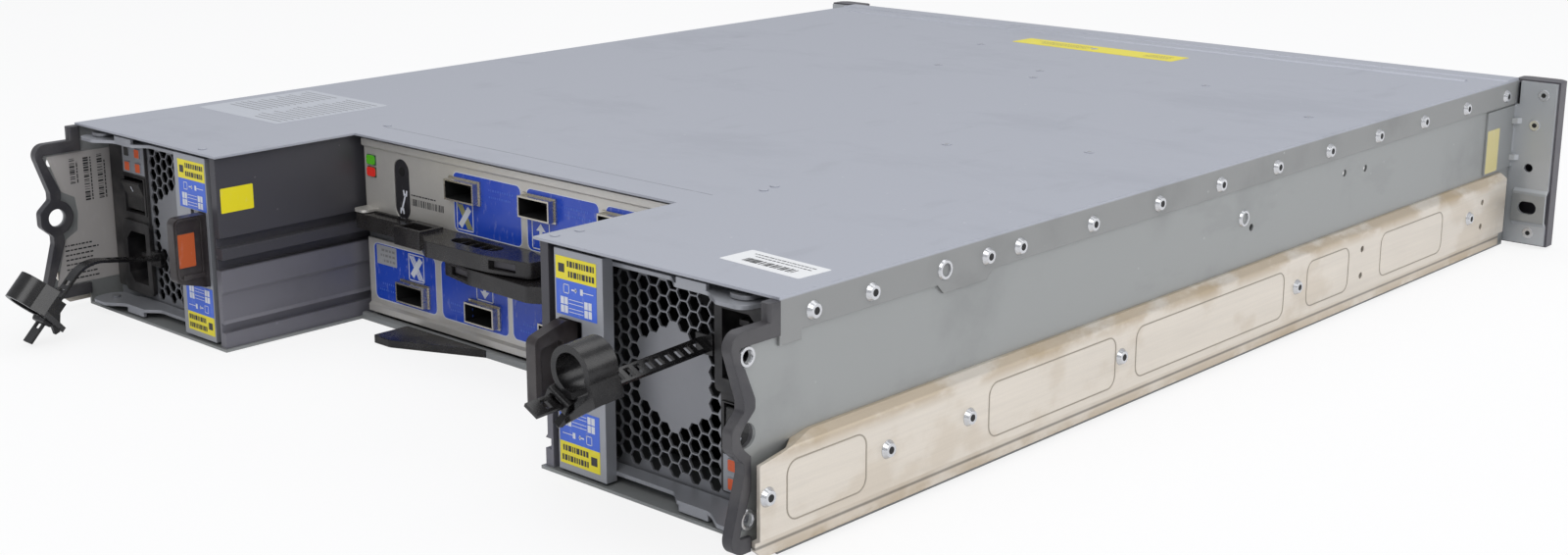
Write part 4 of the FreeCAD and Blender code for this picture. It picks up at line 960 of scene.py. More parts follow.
# ------------------------------------------------------------------ sub-assemblies
class Assembly:
    """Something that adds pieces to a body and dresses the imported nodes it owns."""

    def add(self, piece: bpy.types.Object, body: str, finish: Finishes, slot: str) -> None:
        """Finishes a piece and lets it ride.

        Args:
            piece: The new piece.
            body: The body that carries it.
            finish: Its finish.
            slot: Not used.
        """
        piece.data.materials.clear()
        piece.data.materials.append(finish.value.material())
        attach(piece, body)
        log.info("%s rides on %s", piece.name, body)

    def coat(self, node: str, finish: Finishes) -> None:
        """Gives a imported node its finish.

        Args:
            node: The node's name.
            finish: The finish.
        """
        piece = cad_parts[node]
        piece.data.materials.clear()
        piece.data.materials.append(finish.value.material())


@dataclass(frozen=True)
class CoverLabel:
    """A label on the cover, with its sizes in millimetres."""

    word: str
    centre: Spot
    tilt: float
    half: Spot
    thick: float
    corner: float
    finish: Finishes
    ink: Finishes


@dataclass
class Chassis(Assembly):
    """Pan, cover, rails, trims, ears and the labels on them, with places in millimetres."""

    rail_outlines: Sequence[Spot] = ((241, 281), (91, 173), (-40, 77), (-99, -60), (-195, -130))
    outline_heights: Spot = (12.5, 33.5)
    rail_screws: Sequence[float] = (290.0, 229.8, 184.4, 87.2, -51.3, -225.0)
    rail_screw_height: float = 24
    ear_screws: Sequence[Spot] = ((15.2, 79.8), (11.8, 64.0), (13.4, 7.8))
    dimples: Sequence[Spot] = (
        (27, -120), (-35, -120), (-114, -157), (-194, -113), (55, -195.5), (-4, -222.5),
        (-25, -140), (-165, 23), (-110, 50))
    clinches: Sequence[Spot] = (
        (122, 274), (106, 187), (-108, 274), (-109, 263), (-111.5, 162), (-113, 170))
    white: CoverLabel = CoverLabel("white", (-192.5, 250.5), -3.0, (19, 8), 0.1, 0.8,
                                   Finishes.WHITE_LABEL, Finishes.DARK_INK)
    clear: CoverLabel = CoverLabel("clear", (181, 187), 0.0, (33, 32), 0.06, 2,
                                   Finishes.CLEAR_LABEL, Finishes.GREY_INK)
    yellow: CoverLabel = CoverLabel("yellow", (-6.5, -222.5), -2.0, (54, 9), 0.1, 1,
                                    Finishes.YELLOW, Finishes.GREY_INK)

    def lay(self, piece: bpy.types.Object, finish: Finishes, slot: str = "cover_steel") -> None:
        """Finishes a piece that rides on the chassis."""
        self.add(piece, "chassis", finish, slot)

    def dress(self) -> None:
        """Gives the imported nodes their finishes."""
        finishes = {
            "chassis_pan": Finishes.PAN, "top_cover": Finishes.COVER,
            "drive_guides": Finishes.INNER, "io_divider": Finishes.INNER,
            "midplane_board": Finishes.BOARD, "midplane_connectors": Finishes.CONNECTOR,
            "notch_guard": Finishes.LEVER, "shelf_id_button": Finishes.LEVER,
            "machine_screws": Finishes.SCREW, "rivet_nuts": Finishes.SCREW,
        }
        for side in ("left", "right"):
            finishes["bay_wall_" + side] = Finishes.WALL
            finishes["side_rail_" + side] = Finishes.RAIL
            finishes["edge_trim_" + side] = Finishes.TRIM
            finishes["ear_bracket_" + side] = Finishes.EAR
            finishes["end_cap_" + side] = Finishes.CAP
        for node, finish in finishes.items():
            self.coat(node, finish)

    def top(self) -> Place:
        """The cover's upper face."""
        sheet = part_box("bay_wall_left")[1].z + WALL_STEEL
        return Place(Vector((0, 0, sheet)), RIGHT, REAR)

    def build(self) -> None:
        """Makes the labels, stampings and marks."""
        self.dress()
        self.cover_labels()
        self.marks()
        self.rail_stampings()
        self.screw_sockets()
        self.info_label()
        self.side_sticker()
        self.wall_sticker()

    def cover_label(self, label: CoverLabel, strokes: Iterable[Patch]) -> None:
        """One label on the cover, with its print.

        Args:
            label: The label.
            strokes: Its print.
        """
        top = self.top()
        tilt = Matrix.Rotation(math.radians(label.tilt), 4, "Z")
        place = Place(Vector((*mm(*label.centre), top.origin.z)), tilt @ top.right, tilt @ top.up)
        wide, deep = label.half
        thick = label.thick * MM
        name = f"cover_{label.word}_label"
        self.lay(Bench.tablet(name, place, mm(-wide, -deep), mm(wide, deep), thick,
                              label.corner * MM), label.finish)
        self.lay(Bench.ink(name + "_print", place, strokes, thick + PRINT_LIFT), label.ink)

    def cover_labels(self) -> None:
        """White, clear and yellow labels on the cover."""
        strokes = bars(11, *mm(-12, 12, 0.5, 4.5))
        strokes += dashes(12, *mm(-15, 15), mm(-2.2, -4.6), SMALL_PRINT)
        self.cover_label(self.white, strokes)
        strokes = dashes(13, *mm(-30, -3), mm(*(k * 3.4 for k in range(-8, 9))), SMALL_PRINT)
        strokes += dashes(14, *mm(3, 30), mm(*(k * 3.4 for k in range(-8, 6))), SMALL_PRINT)
        self.cover_label(self.clear, strokes)
        strokes = dashes(15, *mm(6, 48), mm(3, 0, -3), 0.7 * MM)
        strokes += dashes(16, *mm(-48, -30), mm(3, 0, -3), 0.7 * MM)
        self.cover_label(self.yellow, strokes)

    def marks(self) -> None:
        """Small press marks with painted highlights on their tips, a seam and clinch marks on the
        cover.
        """
        top = self.top()
        spots = [mm(*dimple) for dimple in self.dimples]
        for number, spot in enumerate(spots):
            self.lay(Bench.dome(f"cover_press_mark_{number}", top, spot, 2.2 * MM, 0.25 * MM),
                     Finishes.COVER)
        # Painted highlight: small bright discs of screw zinc on the tips of the press marks.
        self.lay(Bench.discs("cover_press_mark_tips", top, spots, 0.9 * MM, 0.3 * MM),
                 Finishes.SCREW)
        seam = band(mm(104, 189.5), mm(-104, 189.5), 0.6 * MM)
        self.lay(Bench.shape("cover_seam", top, seam, MARK_THICK), Finishes.SEAM)
        for number, clinch in enumerate(self.clinches):
            self.lay(Bench.dome(f"cover_clinch_{number}", top, mm(*clinch), 1.9 * MM, 0.4 * MM),
                     Finishes.COVER)

    def rail_stampings(self) -> None:
        """Stamped outlines on both rails, in a darker copy of the rail's zinc that is painted shade
        along the ridges.
        """
        foot, head = mm(*self.outline_heights)
        for side, sign in (("left", 1), ("right", -1)):
            low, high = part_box("side_rail_" + side)
            face = high.x if sign > 0 else low.x
            place = Place(Vector((face, 0, 0)), Vector((0, sign, 0)), UP)
            for number, outline in enumerate(self.rail_outlines):
                start, end = sorted(sign * along for along in mm(*outline))
                piece = Bench.frame(f"rail_{side}_stamping_{number}", place, (start, foot),
                                    (end, head), *mm(0.5, 0.12, 5.0))
                self.lay(piece, Finishes.STAMPING, "rail_zinc")

    def screw_sockets(self) -> None:
        """Dark sockets in the cover screws and the screws that hold the ears; the dark is painted
        shade in the sockets.
        """
        head_rise, lift = mm(1.6, 0.05)
        ear_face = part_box("ear_bracket_right")[0].y + 2.0 * MM
        for side, sign in (("left", 1), ("right", -1)):
            along_depth = Vector((0, sign, 0))
            cover = Vector((sign * (abs(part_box("top_cover")[0].x) + head_rise), 0, 0))
            spots = [(sign * along, level) for along, level in screw_rows()]
            self.lay(Bench.discs(f"screw_sockets_{side}", Place(cover, along_depth, UP), spots,
                                 SOCKET_RADIUS, lift), Finishes.RECESS, "zinc_steel")
            rail = Vector((sign * abs(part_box("machine_screws")[0].x), 0, 0))
            spots = [mm(sign * along, self.rail_screw_height) for along in self.rail_screws]
            self.lay(Bench.discs(f"rail_screw_sockets_{side}", Place(rail, along_depth, UP), spots,
                                 SOCKET_RADIUS, lift), Finishes.RECESS, "zinc_steel")
            ear = Place(Vector((sign * 220 * MM, ear_face, 0)), LEFT, UP)
            spots = [mm(-sign * across, level) for across, level in self.ear_screws]
            for number, spot in enumerate(spots):
                self.lay(Bench.dome(f"ear_screw_{side}_{number}", ear, spot, 2.9 * MM, 0.5 * MM),
                         Finishes.SCREW, "zinc_steel")
            self.lay(Bench.discs(f"ear_screw_sockets_{side}", ear, spots, 1.2 * MM, 0.55 * MM),
                     Finishes.RECESS, "zinc_steel")

    def info_label(self) -> None:
        """Silver label on the inner face of the left ear plate, with columns of bars and lines."""
        low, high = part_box("edge_trim_left")
        place = Place(Vector((low.x + 1.5 * MM, 0, 0)), FRONT, UP)
        reach = high.y / MM - 3.8
        inner, tip, waist = 35.0 - reach, 2.5 - reach, 15.0 - reach
        top, foot, middle = 73.5, 11.5, 44.5
        corners = ((tip, foot), (inner, foot), (inner, top), (tip, top),
                   (waist - 6.5, middle + 11.5), (waist, middle + 8.0), (waist + 1.0, middle),
                   (waist, middle - 8.0), (waist - 6.5, middle - 11.5))
        outline = [mm(*corner) for corner in corners]
        self.lay(Bench.shape("ear_info_label", place, outline, LABEL_THICK),
                 Finishes.SILVER_LABEL, "zinc_steel")
        strokes = []
        for column, (start, low_end) in enumerate(((-21.5, 59.0), (-14.5, 50.0), (-7.5, 50.0))):
            left = inner + start
            ends = mm(low_end, 71)
            strokes += upended(bars(23 + column, *ends, *mm(left, left + 2.6)))
            strokes += upended(dashes(27 + column, *ends, mm(left + 3.7), SMALL_PRINT))
        levels = mm(*(30 - 2.3 * row for row in range(8)))
        strokes += dashes(22, *mm(tip + 5.5, inner - 9), levels, 0.7 * MM)
        self.lay(Bench.ink("ear_info_label_print", place, strokes, LABEL_THICK + PRINT_LIFT),
                 Finishes.DARK_INK, "zinc_steel")

    def side_sticker(self) -> None:
        """Pale yellow film on the side plate of the right ear."""
        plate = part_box("top_cover")[0].x
        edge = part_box("ear_bracket_right")[1].y
        place = Place(Vector((plate, edge, 0)), FRONT, UP)
        self.lay(Bench.tablet("side_sticker", place, mm(1, 42), mm(15, 64), 0.08 * MM, 0.8 * MM),
                 Finishes.PALE_YELLOW)

    def wall_sticker(self) -> None:
        """Small yellow sticker on the left bay wall."""
        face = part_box("bay_wall_left")[0].x + 1.4 * MM
        place = Place(Vector((face, 0, 0)), FRONT, UP)
        self.lay(Bench.tablet("wall_sticker", place, mm(-277, 61.3), mm(-260.7, 72.2), LABEL_THICK,
                              0.5 * MM), Finishes.YELLOW, "dark_sheet")


@dataclass
class PowerSupply(Assembly):
    """One power supply: strip labels, latch pad, indicators and finishes."""

    side: str
    turn: Matrix
    strip_inset: float = 1.0 * MM
    label_left: float = 0.8 * MM
    label_width: float = 21.0 * MM

    @property
    def body(self) -> str:
        """Name of the body that slides out."""
        return f"psu_{self.side}"

    def name(self, part: str) -> str:
        """Full name of one of this unit's parts."""
        return f"{self.body}_{part}"

    def strip(self) -> Place:
        """The handle strip's rear face, from its inner edge and the shelf's underside.

        Returns:
            Its plane.
        """
        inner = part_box("psu_left_handle")[0].x
        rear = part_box("bay_wall_left")[1].y + 1.2 * MM - self.strip_inset
        return Place(Vector((inner, rear, 0)), LEFT, UP, self.turn)

    def build(self) -> None:
        """Makes the labels and dresses the nodes."""
        finishes = {
            "case": Finishes.INNER, "board": Finishes.BOARD, "face_plate": Finishes.GRILLE,
            "switch_panel": Finishes.PANEL, "inlet": Finishes.PANEL, "rocker_frame": Finishes.PANEL,
            "led_block": Finishes.HANDLE, "fan_frame": Finishes.FAN, "strap": Finishes.NYLON,
            "handle": Finishes.HANDLE, "latch": Finishes.LATCH, "rocker": Finishes.ROCKER,
            "fan_rotor": Finishes.FAN, "clamp": Finishes.NYLON,
        }
        for part, finish in finishes.items():
            self.coat(self.name(part), finish)
        self.strip_labels()
        self.latch_pad()
        self.indicators()
        self.switch_mark()

    def strip_labels(self) -> None:
        """Yellow and blue labels above and below the latch window."""
        strip = self.strip()
        left = -self.label_left - self.label_width
        right = -self.label_left
        middle = MID_HEIGHT
        body = self.name("handle")
        lift = LABEL_THICK + PRINT_LIFT
        fields = (("yellow", 30.2, 38.6, Finishes.YELLOW), ("blue", 17.3, 30.2, Finishes.BLUE))
        for word, flip in (("upper", 1), ("lower", -1)):
            for colour, near, far, finish in fields:
                low, high = sorted((middle + flip * near * MM, middle + flip * far * MM))
                piece = Bench.tablet(self.name(f"label_{colour}_{word}"), strip, (left, low),
                                     (right, high), LABEL_THICK)
                self.add(piece, body, finish, "handle_zinc")
            piece = Bench.ink(self.name(f"label_print_{word}"), strip, self.pictogram(flip), lift)
            self.add(piece, body, Finishes.LIGHT_INK, "handle_zinc")
            marks = self.slogan(flip, left, right)
            piece = Bench.ink(self.name(f"label_dashes_{word}"), strip, marks, lift)
            self.add(piece, body, Finishes.DARK_INK, "handle_zinc")

    def slogan(self, flip: int, left: float, right: float) -> list[Patch]:
        """Dark block and two rows of plain marks, in place of words.

        Args:
            flip: 1 for the upper label and -1 for the lower one.
            left: The label's left edge.
            right: Its right edge.

        Returns:
            Left, bottom, right and top of each patch.
        """
        levels = [MID_HEIGHT + flip * 36.3 * MM, MID_HEIGHT + flip * 32.6 * MM]
        start, end, block = (left + 6 * MM, right - MM, left + 1.4 * MM)
        if flip < 0:
            start, end, block = (left + MM, right - 6 * MM, right - 4.6 * MM)
        marks = dashes(31, start, end, levels, 2.2 * MM, 1.7 * MM, 0.45 * MM)
        low = MID_HEIGHT + flip * 34.4 * MM - 1.6 * MM
        return marks + [(block, low, block + 3.2 * MM, low + 3.2 * MM)]

    def pictogram(self, flip: int) -> list[Patch]:
        """Blocks joined by lines, as a plain wiring diagram.

        Args:
            flip: 1 for the upper label and -1 for the lower one.

        Returns:
            Left, bottom, right and top of each patch.
        """
        centre = -self.label_left - self.label_width / 2
        strokes = []

        def patch(x0: float, z0: float, x1: float, z1: float) -> None:
            """Adds a patch, measured in millimetres from the label's centre line and mid height.

            Args:
                x0: Its left edge.
                z0: Its lower edge.
                x1: Its right edge.
                z1: Its upper edge.
            """
            edges = sorted((MID_HEIGHT + flip * z0 * MM, MID_HEIGHT + flip * z1 * MM))
            strokes.append((centre + flip * x0 * MM, edges[0], centre + flip * x1 * MM, edges[1]))

        for x in (-8.2, 4.2):
            for row in (18.2, 21.3):
                patch(x, row, x + 1.8, row + 2.7)
                patch(x + 2.1, row, x + 3.8, row + 2.7)
        for level in (18.9, 20.2, 22.0, 23.4):
            patch(-3.9, level - 0.12, 3.7, level + 0.12)
        open_box = ((-6.6, 25.4, -6.3, 28.8), (-3.9, 25.4, -3.6, 28.8), (-6.6, 28.5, -3.6, 28.8),
                    (-6.6, 25.4, -3.6, 25.7))
        arrow_and_plug = ((-2.4, 26.8, 0.4, 27.4), (-0.5, 26.3, 0.1, 27.9), (2.2, 26.0, 3.6, 28.2),
                          (3.6, 26.95, 9.0, 27.25))
        for edges in open_box + arrow_and_plug:
            patch(*edges)
        return strokes

    def indicators(self) -> None:
        """Three amber lenses and a dark one on the indicator block."""
        low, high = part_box("psu_left_led_block")
        centre = (low + high) / 2
        place = Place(Vector((centre.x, high.y, centre.z)), LEFT, UP, self.turn)
        finishes = (Finishes.AMBER_LENS,) * 3 + (Finishes.DARK_LENS,)
        spots = ((4.6, -3.4), (-4.6, -3.4), (4.6, 3.4), (-4.6, 3.4))
        half, wide, thick, corner = 2.0, 4 * MM, 0.12 * MM, 0.6 * MM
        for number, (finish, (across, above)) in enumerate(zip(finishes, spots)):
            low = mm(across - half, above - half)
            high_corner = (low[0] + wide, low[1] + wide)
            piece = Bench.tablet(self.name(f"indicator_{number}"), place, low, high_corner, thick,
                                 corner)
            self.add(piece, self.body, finish, "black_plastic")

    def switch_mark(self) -> None:
        """White bar on the upper half of the rocker."""
        low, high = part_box("psu_left_rocker")
        centre = (low + high) / 2
        middle = Vector((centre.x, high.y - 2.5 * MM, centre.z))
        slope = (Vector((centre.x, high.y + 0.5 * MM, high.z)) - middle).normalized()
        place = Place(middle, LEFT, slope, self.turn)
        mark = Bench.tablet(self.name("switch_mark"), place, mm(-0.35, 2.2), mm(0.35, 5.0),
                            0.05 * MM, lift=0.12 * MM)
        self.add(mark, self.name("rocker"), Finishes.LIGHT_INK, "black_plastic")

    def latch_pad(self) -> None:
        """Orange film on the latch's pad, and the rim of its fin."""
        low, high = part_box("psu_left_latch")
        place = Place(Vector((low.x + 0.2 * MM, 0, 0)), FRONT, UP, self.turn)
        film = Bench.tablet(self.name("latch_pad_film"), place,
                            (-high.y + 1.3 * MM, low.z + 10.7 * MM),
                            (-high.y + 9.4 * MM, low.z + 25.5 * MM), LABEL_THICK, 0.4 * MM)
        self.add(film, self.name("latch"), Finishes.ORANGE, "black_plastic")
        fin = Place(Vector((low.x + 0.9 * MM, 0, 0)), FRONT, UP, self.turn)
        rim = Bench.frame(self.name("latch_rim"), fin, (-high.y + 0.6 * MM, low.z + 4.8 * MM),
                          (-high.y + 13.6 * MM, high.z - 0.6 * MM), *mm(0.9, 0.6, 2.6))
        self.add(rim, self.name("latch"), Finishes.LATCH, "black_plastic")


@dataclass
class IoModule(Assembly):
    """One I/O module: printed panels, indicators and finishes."""

    level: str
    turn: Matrix
    port_finish: Finishes
    panels: Sequence[Spot]
    crossed: int
    panel_heights: Spot = (51.8, 78.5)
    panel_corner: float = 3.0 * MM
    port_places: Sequence[float] = (29.5, -19.0, -67.5)
    port_level: float = 71.0
    port_half: Spot = (9.75, 4.65)
    sign_heights: Spot = (53.0, 65.4)
    slot_place: Spot = (74.5, 64.7)
    slot_half: Spot = (5.4, 13.6)
    slot_mark_lift: float = -0.44 * MM

    @property
    def body(self) -> str:
        """Name of the body that slides out."""
        return f"io_{self.level}"

    def name(self, part: str) -> str:
        """Full name of one of this module's parts."""
        return f"{self.body}_{part}"

    def face(self) -> Place:
        """The faceplate's rear face."""
        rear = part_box("io_upper_port_cages")[1].y - 4.2 * MM
        return Place(Vector((0, rear, 0)), LEFT, UP, self.turn)

    def mount(self, piece: bpy.types.Object, finish: Finishes) -> None:
        """Finishes a piece on the faceplate."""
        self.add(piece, self.body, finish, "handle_zinc")

    def build(self) -> None:
        """Makes the prints and dresses the nodes."""
        finishes = {"case": Finishes.INNER, "faceplate": Finishes.PLATE,
                    "port_cages": self.port_finish, "board": Finishes.BOARD,
                    "lever": Finishes.LEVER, "lever_latch": Finishes.CAP}
        for part, finish in finishes.items():
            self.coat(self.name(part), finish)
        face = self.face()
        for number, panel in enumerate(self.panels):
            self.panel(face, number, panel)
            if number == self.crossed:
                self.crossed_sign(face, number)
            else:
                self.port_sign(face, number)
        self.indicators(face)
        self.service_slot(face)

    def panel(self, face: Place, number: int, panel: Spot) -> None:
        """Blue print with a pale border and a hole for its port.

        Args:
            face: The faceplate's plane.
            number: Which panel.
            panel: Its own X limits.
        """
        foot, head = self.panel_heights
        low, high = mm(-panel[1], foot), mm(-panel[0], head)
        port, level = -self.port_places[number], self.port_level
        half_wide, half_high = self.port_half
        hole = (mm(port - half_wide, level - half_high), mm(port + half_wide, level + half_high))
        sheet = Bench.tablet(self.name(f"panel_{number}"), face, low, high, PANEL_THICK,
                             self.panel_corner)
        Bench.cut(sheet, face, *hole)
        self.mount(sheet, Finishes.DEEP_BLUE)
        border = Bench.frame(self.name(f"panel_border_{number}"), face, low, high, 0.4 * MM,
                             0.07 * MM, self.panel_corner)
        Bench.cut(border, face, *hole)
        self.mount(border, Finishes.LIGHT_INK)
        strokes = dashes(41 + number, low[0] + 24 * MM, high[0] - 3 * MM, mm(73.5, 70.5),
                         *mm(0.9, 1.2))
        self.ink_on(face, f"panel_dots_{number}", strokes, PANEL_THICK, Finishes.FAINT_INK)

    def ink_on(self, face: Place, part: str, strokes: Iterable[Patch], thick: float,
               finish: Finishes) -> None:
        """Print on a film on the faceplate."""
        self.mount(Bench.ink(self.name(part), face, strokes, thick + PRINT_LIFT), finish)

    def sign_frame(self, face: Place, number: int, centre: float) -> None:
        """Thin rectangular outline round a sign.

        Args:
            face: The faceplate's plane.
            number: Which port.
            centre: The sign's place across.
        """
        low, high = self.sign_heights
        left, right, line = centre - 5.6, centre + 5.6, 0.5
        sides = ((left, low, left + line, high), (right - line, low, right, high),
                 (left, low, right, low + line), (left, high - line, right, high))
        strokes = [mm(*side) for side in sides]
        self.ink_on(face, f"sign_frame_{number}", strokes, PANEL_THICK, Finishes.LIGHT_INK)

    def port_sign(self, face: Place, number: int) -> None:
        """Framed arrow that points at a port.

        Args:
            face: The faceplate's plane.
            number: Which port.
        """
        centre = -self.port_places[number]
        self.sign_frame(face, number, centre)
        corners = ((centre - 0.9, 54.6), (centre + 0.9, 54.6), (centre + 0.9, 61.0),
                   (centre + 3.0, 61.0), (centre, 64.2), (centre - 3.0, 61.0), (centre - 0.9, 61.0))
        arrow = Bench.shape(self.name(f"port_arrow_{number}"), face,
                            [mm(*corner) for corner in corners], MARK_THICK, PANEL_THICK)
        self.mount(arrow, Finishes.LIGHT_INK)

    def crossed_sign(self, face: Place, number: int) -> None:
        """Framed sign with a broad diagonal over stripes.

        Args:
            face: The faceplate's plane.
            number: Which port.
        """
        centre = -self.port_places[number] - 1.0
        low, high = self.sign_heights
        self.sign_frame(face, number, centre)
        stripe_ink = Finishes.OLIVE if self.level == "upper" else Finishes.LIGHT_INK
        for stripe, shift in enumerate((-1.3, 0.0, 1.3)):
            corners = band(mm(centre + 3.4 + shift, low + 0.9),
                           mm(centre - 3.4 + shift, high - 0.9), 0.8 * MM)
            self.mount(Bench.shape(self.name(f"sign_stripe_{number}_{stripe}"), face, corners,
                                   0.02 * MM, PANEL_THICK), stripe_ink)
        corners = band(mm(centre - 3.4, low + 1.8), mm(centre + 3.2, high - 2.2), 2.8 * MM)
        self.mount(Bench.shape(self.name(f"sign_diagonal_{number}"), face, corners, PANEL_THICK,
                               PANEL_THICK), Finishes.LIGHT_INK)

    def indicators(self, face: Place) -> None:
        """Coloured caps over the light pipes, and the code label.

        Args:
            face: The faceplate's plane.
        """
        caps = (("green", 73.2, Finishes.GREEN_LENS), ("red", 67.7, Finishes.RED_LENS))
        for word, low, finish in caps:
            self.mount(Bench.tablet(self.name(f"indicator_{word}"), face, mm(-99.0, low),
                                    mm(-93.0, low + 4.2), *mm(0.4, 1.2, 0.5)), finish)
        ends = mm(-68, -45)
        strokes = bars(51, *ends, *mm(58.5, 61.6)) + dashes(52, *ends, mm(63.2), SMALL_PRINT)
        self.ink_on(face, "code_print", strokes, 0.0, Finishes.DARK_INK)
        if self.level == "lower":
            thick = 0.12 * MM
            self.mount(Bench.tablet(self.name("code_label"), face, mm(80.8, 52.6), mm(95.4, 61.6),
                                    thick, 0.5 * MM), Finishes.GREY_LABEL)
            strokes = dashes(53, *mm(82, 94), mm(54.8, 57.2, 59.6), 1.1 * MM)
            self.ink_on(face, "code_label_print", strokes, thick, Finishes.GREY_INK)

    def service_slot(self, face: Place) -> None:
        """Dark film in the slot, with a pale spanner mark and a round detent painted near-black as
        shade.

        Args:
            face: The faceplate's plane.
        """
        across, above = -self.slot_place[0], self.slot_place[1]
        half_wide, half_tall = self.slot_half
        film = Bench.tablet(self.name("slot_film"), face, mm(across - half_wide, above - half_tall),
                            mm(across + half_wide, above + half_tall), *mm(0.1, 5.3, -0.55))
        self.mount(film, Finishes.DARK_FILM)
        pit = Place(face.origin - Vector((0, 0.4 * MM, 0)), face.right, face.up, face.turn)
        # Painted shade: the detent is a near-black dome that stands in for the shade in its pit.
        self.mount(Bench.dome(self.name("slot_detent"), pit, mm(across, above + 8.0),
                              *mm(2.0, 0.2)), Finishes.RECESS)
        foot, head = (across - 1.0, above - 9.0), (across + 1.6, above - 2.6)
        self.slot_mark(face, "slot_mark", band(mm(*foot), mm(*head), 1.0 * MM))
        jaw = ((-1.2, -0.4), (1.2, -0.4), (1.6, 2.2), (0.7, 2.4), (0.4, 0.8), (-0.4, 0.8),
               (-0.7, 2.4), (-1.6, 2.2))
        for word, spot, way in (("foot", foot, -1), ("head", head, 1)):
            fork = [mm(spot[0] + x, spot[1] + way * z) for x, z in jaw[::way]]
            self.slot_mark(face, f"slot_mark_{word}", fork)

    def slot_mark(self, face: Place, part: str, corners: Sequence[Spot]) -> None:
        """Pale piece of the spanner mark in the slot."""
        piece = Bench.shape(self.name(part), face, corners, MARK_THICK, self.slot_mark_lift)
        self.mount(piece, Finishes.LIGHT_INK)


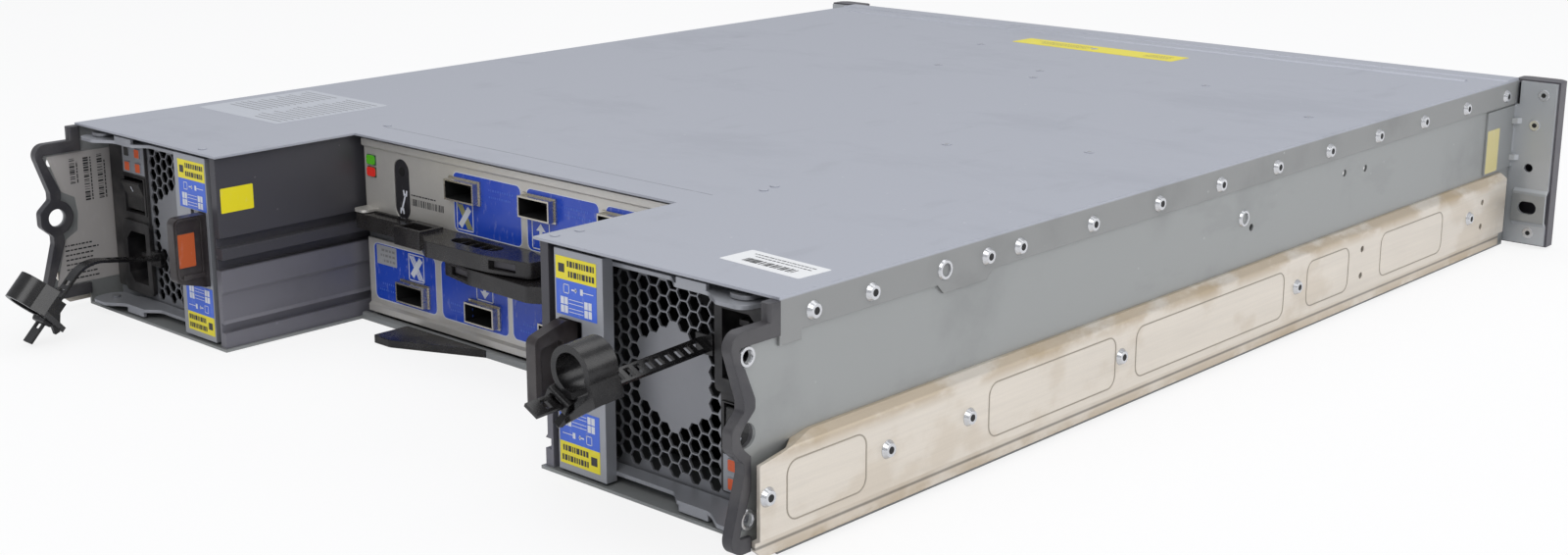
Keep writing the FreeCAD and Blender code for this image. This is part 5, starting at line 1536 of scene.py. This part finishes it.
# ------------------------------------------------------------------ studio
@dataclass
class Studio:
    """Pale floor, soft light and the camera."""

    floor_size: float = 6.0
    floor_gap: float = 0.0002
    floor_white: float = 0.82
    lens: float = 45.85
    shift_x: float = 0.0385
    shift_y: float = -0.0266
    camera_place: tuple[float, float, float] = (-0.6297, 0.7283, 0.2576)
    look_at: tuple[float, float, float] = (-0.03083, 0.1076, 0.0435)
    roll: float = math.radians(-0.365)
    world_light: float = 0.50

    def build(self) -> None:
        """Makes floor, world, lamps and camera."""
        self.floor()
        self.world()
        self.lamps()
        self.camera()

    def pale(self, name: str, tree: bpy.types.NodeTree, surface: bpy.types.NodeSocket,
             plain: bpy.types.NodeSocket, share: float) -> None:
        """Blends a shader with plain white where one kind of ray meets it.

        Args:
            name: Which rays see white.
            tree: The node tree.
            surface: The real shader.
            plain: The white shader.
            share: How much of the white shows.
        """
        rays = tree.nodes.new("ShaderNodeLightPath")
        mix = tree.nodes.new("ShaderNodeMixShader")
        scale = tree.nodes.new("ShaderNodeMath")
        scale.operation = "MULTIPLY"
        scale.inputs[1].default_value = share
        tree.links.new(rays.outputs[name], scale.inputs[0])
        tree.links.new(scale.outputs[0], mix.inputs[0])
        tree.links.new(surface, mix.inputs[1])
        tree.links.new(plain, mix.inputs[2])
        output = next(n for n in tree.nodes if n.type in {"OUTPUT_MATERIAL", "OUTPUT_WORLD"})
        tree.links.new(mix.outputs[0], output.inputs["Surface"])

    def floor(self) -> None:
        """White table top that keeps the object's shadow."""
        Bench.clear()
        level = cad_bounds[0].z - self.floor_gap
        bpy.ops.mesh.primitive_plane_add(size=self.floor_size, location=(0, 0, level))
        floor = bpy.context.object
        floor.name = "studio_floor"
        graph = Graph("floor_white")
        graph.paint(Base_Color=(0.86, 0.86, 0.87), Roughness=0.8)
        white = graph.node("ShaderNodeEmission", {}, {"Color": (1.0, 1.0, 1.0), "Strength": 1.0})
        self.pale("Is Camera Ray", graph.tree, graph.shader.outputs[0], white.outputs[0],
                  self.floor_white)
        floor.data.materials.append(graph.material)

    def world(self) -> None:
        """Even white surroundings."""
        world = bpy.data.worlds.new("studio")
        bpy.context.scene.world = world
        world.use_nodes = True
        tree = world.node_tree
        even = tree.nodes["Background"]
        even.inputs["Color"].default_value = (0.93, 0.95, 1.0, 1.0)
        even.inputs["Strength"].default_value = self.world_light
        white = tree.nodes.new("ShaderNodeBackground")
        white.inputs["Color"].default_value = (1, 1, 1, 1)
        white.inputs["Strength"].default_value = 1.0
        self.pale("Is Camera Ray", tree, even.outputs[0], white.outputs[0], 1.0)

    def lamps(self) -> None:
        """Large soft lamps above, behind and beside the shelf."""
        lamps = (
            ("key", (-0.9, 1.6, 1.9), 1.6, 22.0),
            ("fill", (-1.9, -0.6, 1.2), 1.6, 16.0),
            ("top", (0.3, -0.4, 2.2), 2.0, 17.0),
        )
        for name, place, size, power in lamps:
            light = bpy.data.lights.new(name, "AREA")
            light.shape = "SQUARE"
            light.size = size
            light.energy = power
            lamp = bpy.data.objects.new(name, light)
            bpy.context.scene.collection.objects.link(lamp)
            lamp.location = place
            aim = Vector((0, 0, 0.04)) - Vector(place)
            lamp.rotation_euler = aim.to_track_quat("-Z", "Y").to_euler()

    def camera(self) -> None:
        """Camera behind and beside the shelf, a little above it, with a slight roll."""
        data = bpy.data.cameras.new("camera")
        data.lens = self.lens
        data.shift_x = self.shift_x
        data.shift_y = self.shift_y
        data.clip_start = 0.01
        camera = bpy.data.objects.new("camera", data)
        bpy.context.scene.collection.objects.link(camera)
        back = (Vector(self.camera_place) - Vector(self.look_at)).normalized()
        right = Vector((0, 0, 1)).cross(back).normalized()
        up = back.cross(right)
        rolled = math.cos(self.roll) * right + math.sin(self.roll) * up
        upright = back.cross(rolled)
        turn = Matrix((rolled, upright, back)).transposed().to_4x4()
        camera.matrix_world = Matrix.Translation(self.camera_place) @ turn
        bpy.context.scene.camera = camera
        bpy.context.scene.view_settings.view_transform = "Standard"


def main() -> None:
    logging.basicConfig(level=logging.INFO)
    Chassis().build()
    PowerSupply("left", Matrix.Identity(4)).build()
    PowerSupply("right", turn_over(MID_HEIGHT)).build()
    IoModule("upper", Matrix.Identity(4), Finishes.PORT,
             ((-7.0, 38.0), (-55.0, -10.3), (-100.0, -58.6)), 0).build()
    IoModule("lower", turn_over(IO_MID_HEIGHT), Finishes.PORT_TURNED,
             ((-1.0, 44.0), (-49.0, -3.5), (-97.6, -52.5)), 2).build()
    Studio().build()


if __name__ == "__main__":
    main()
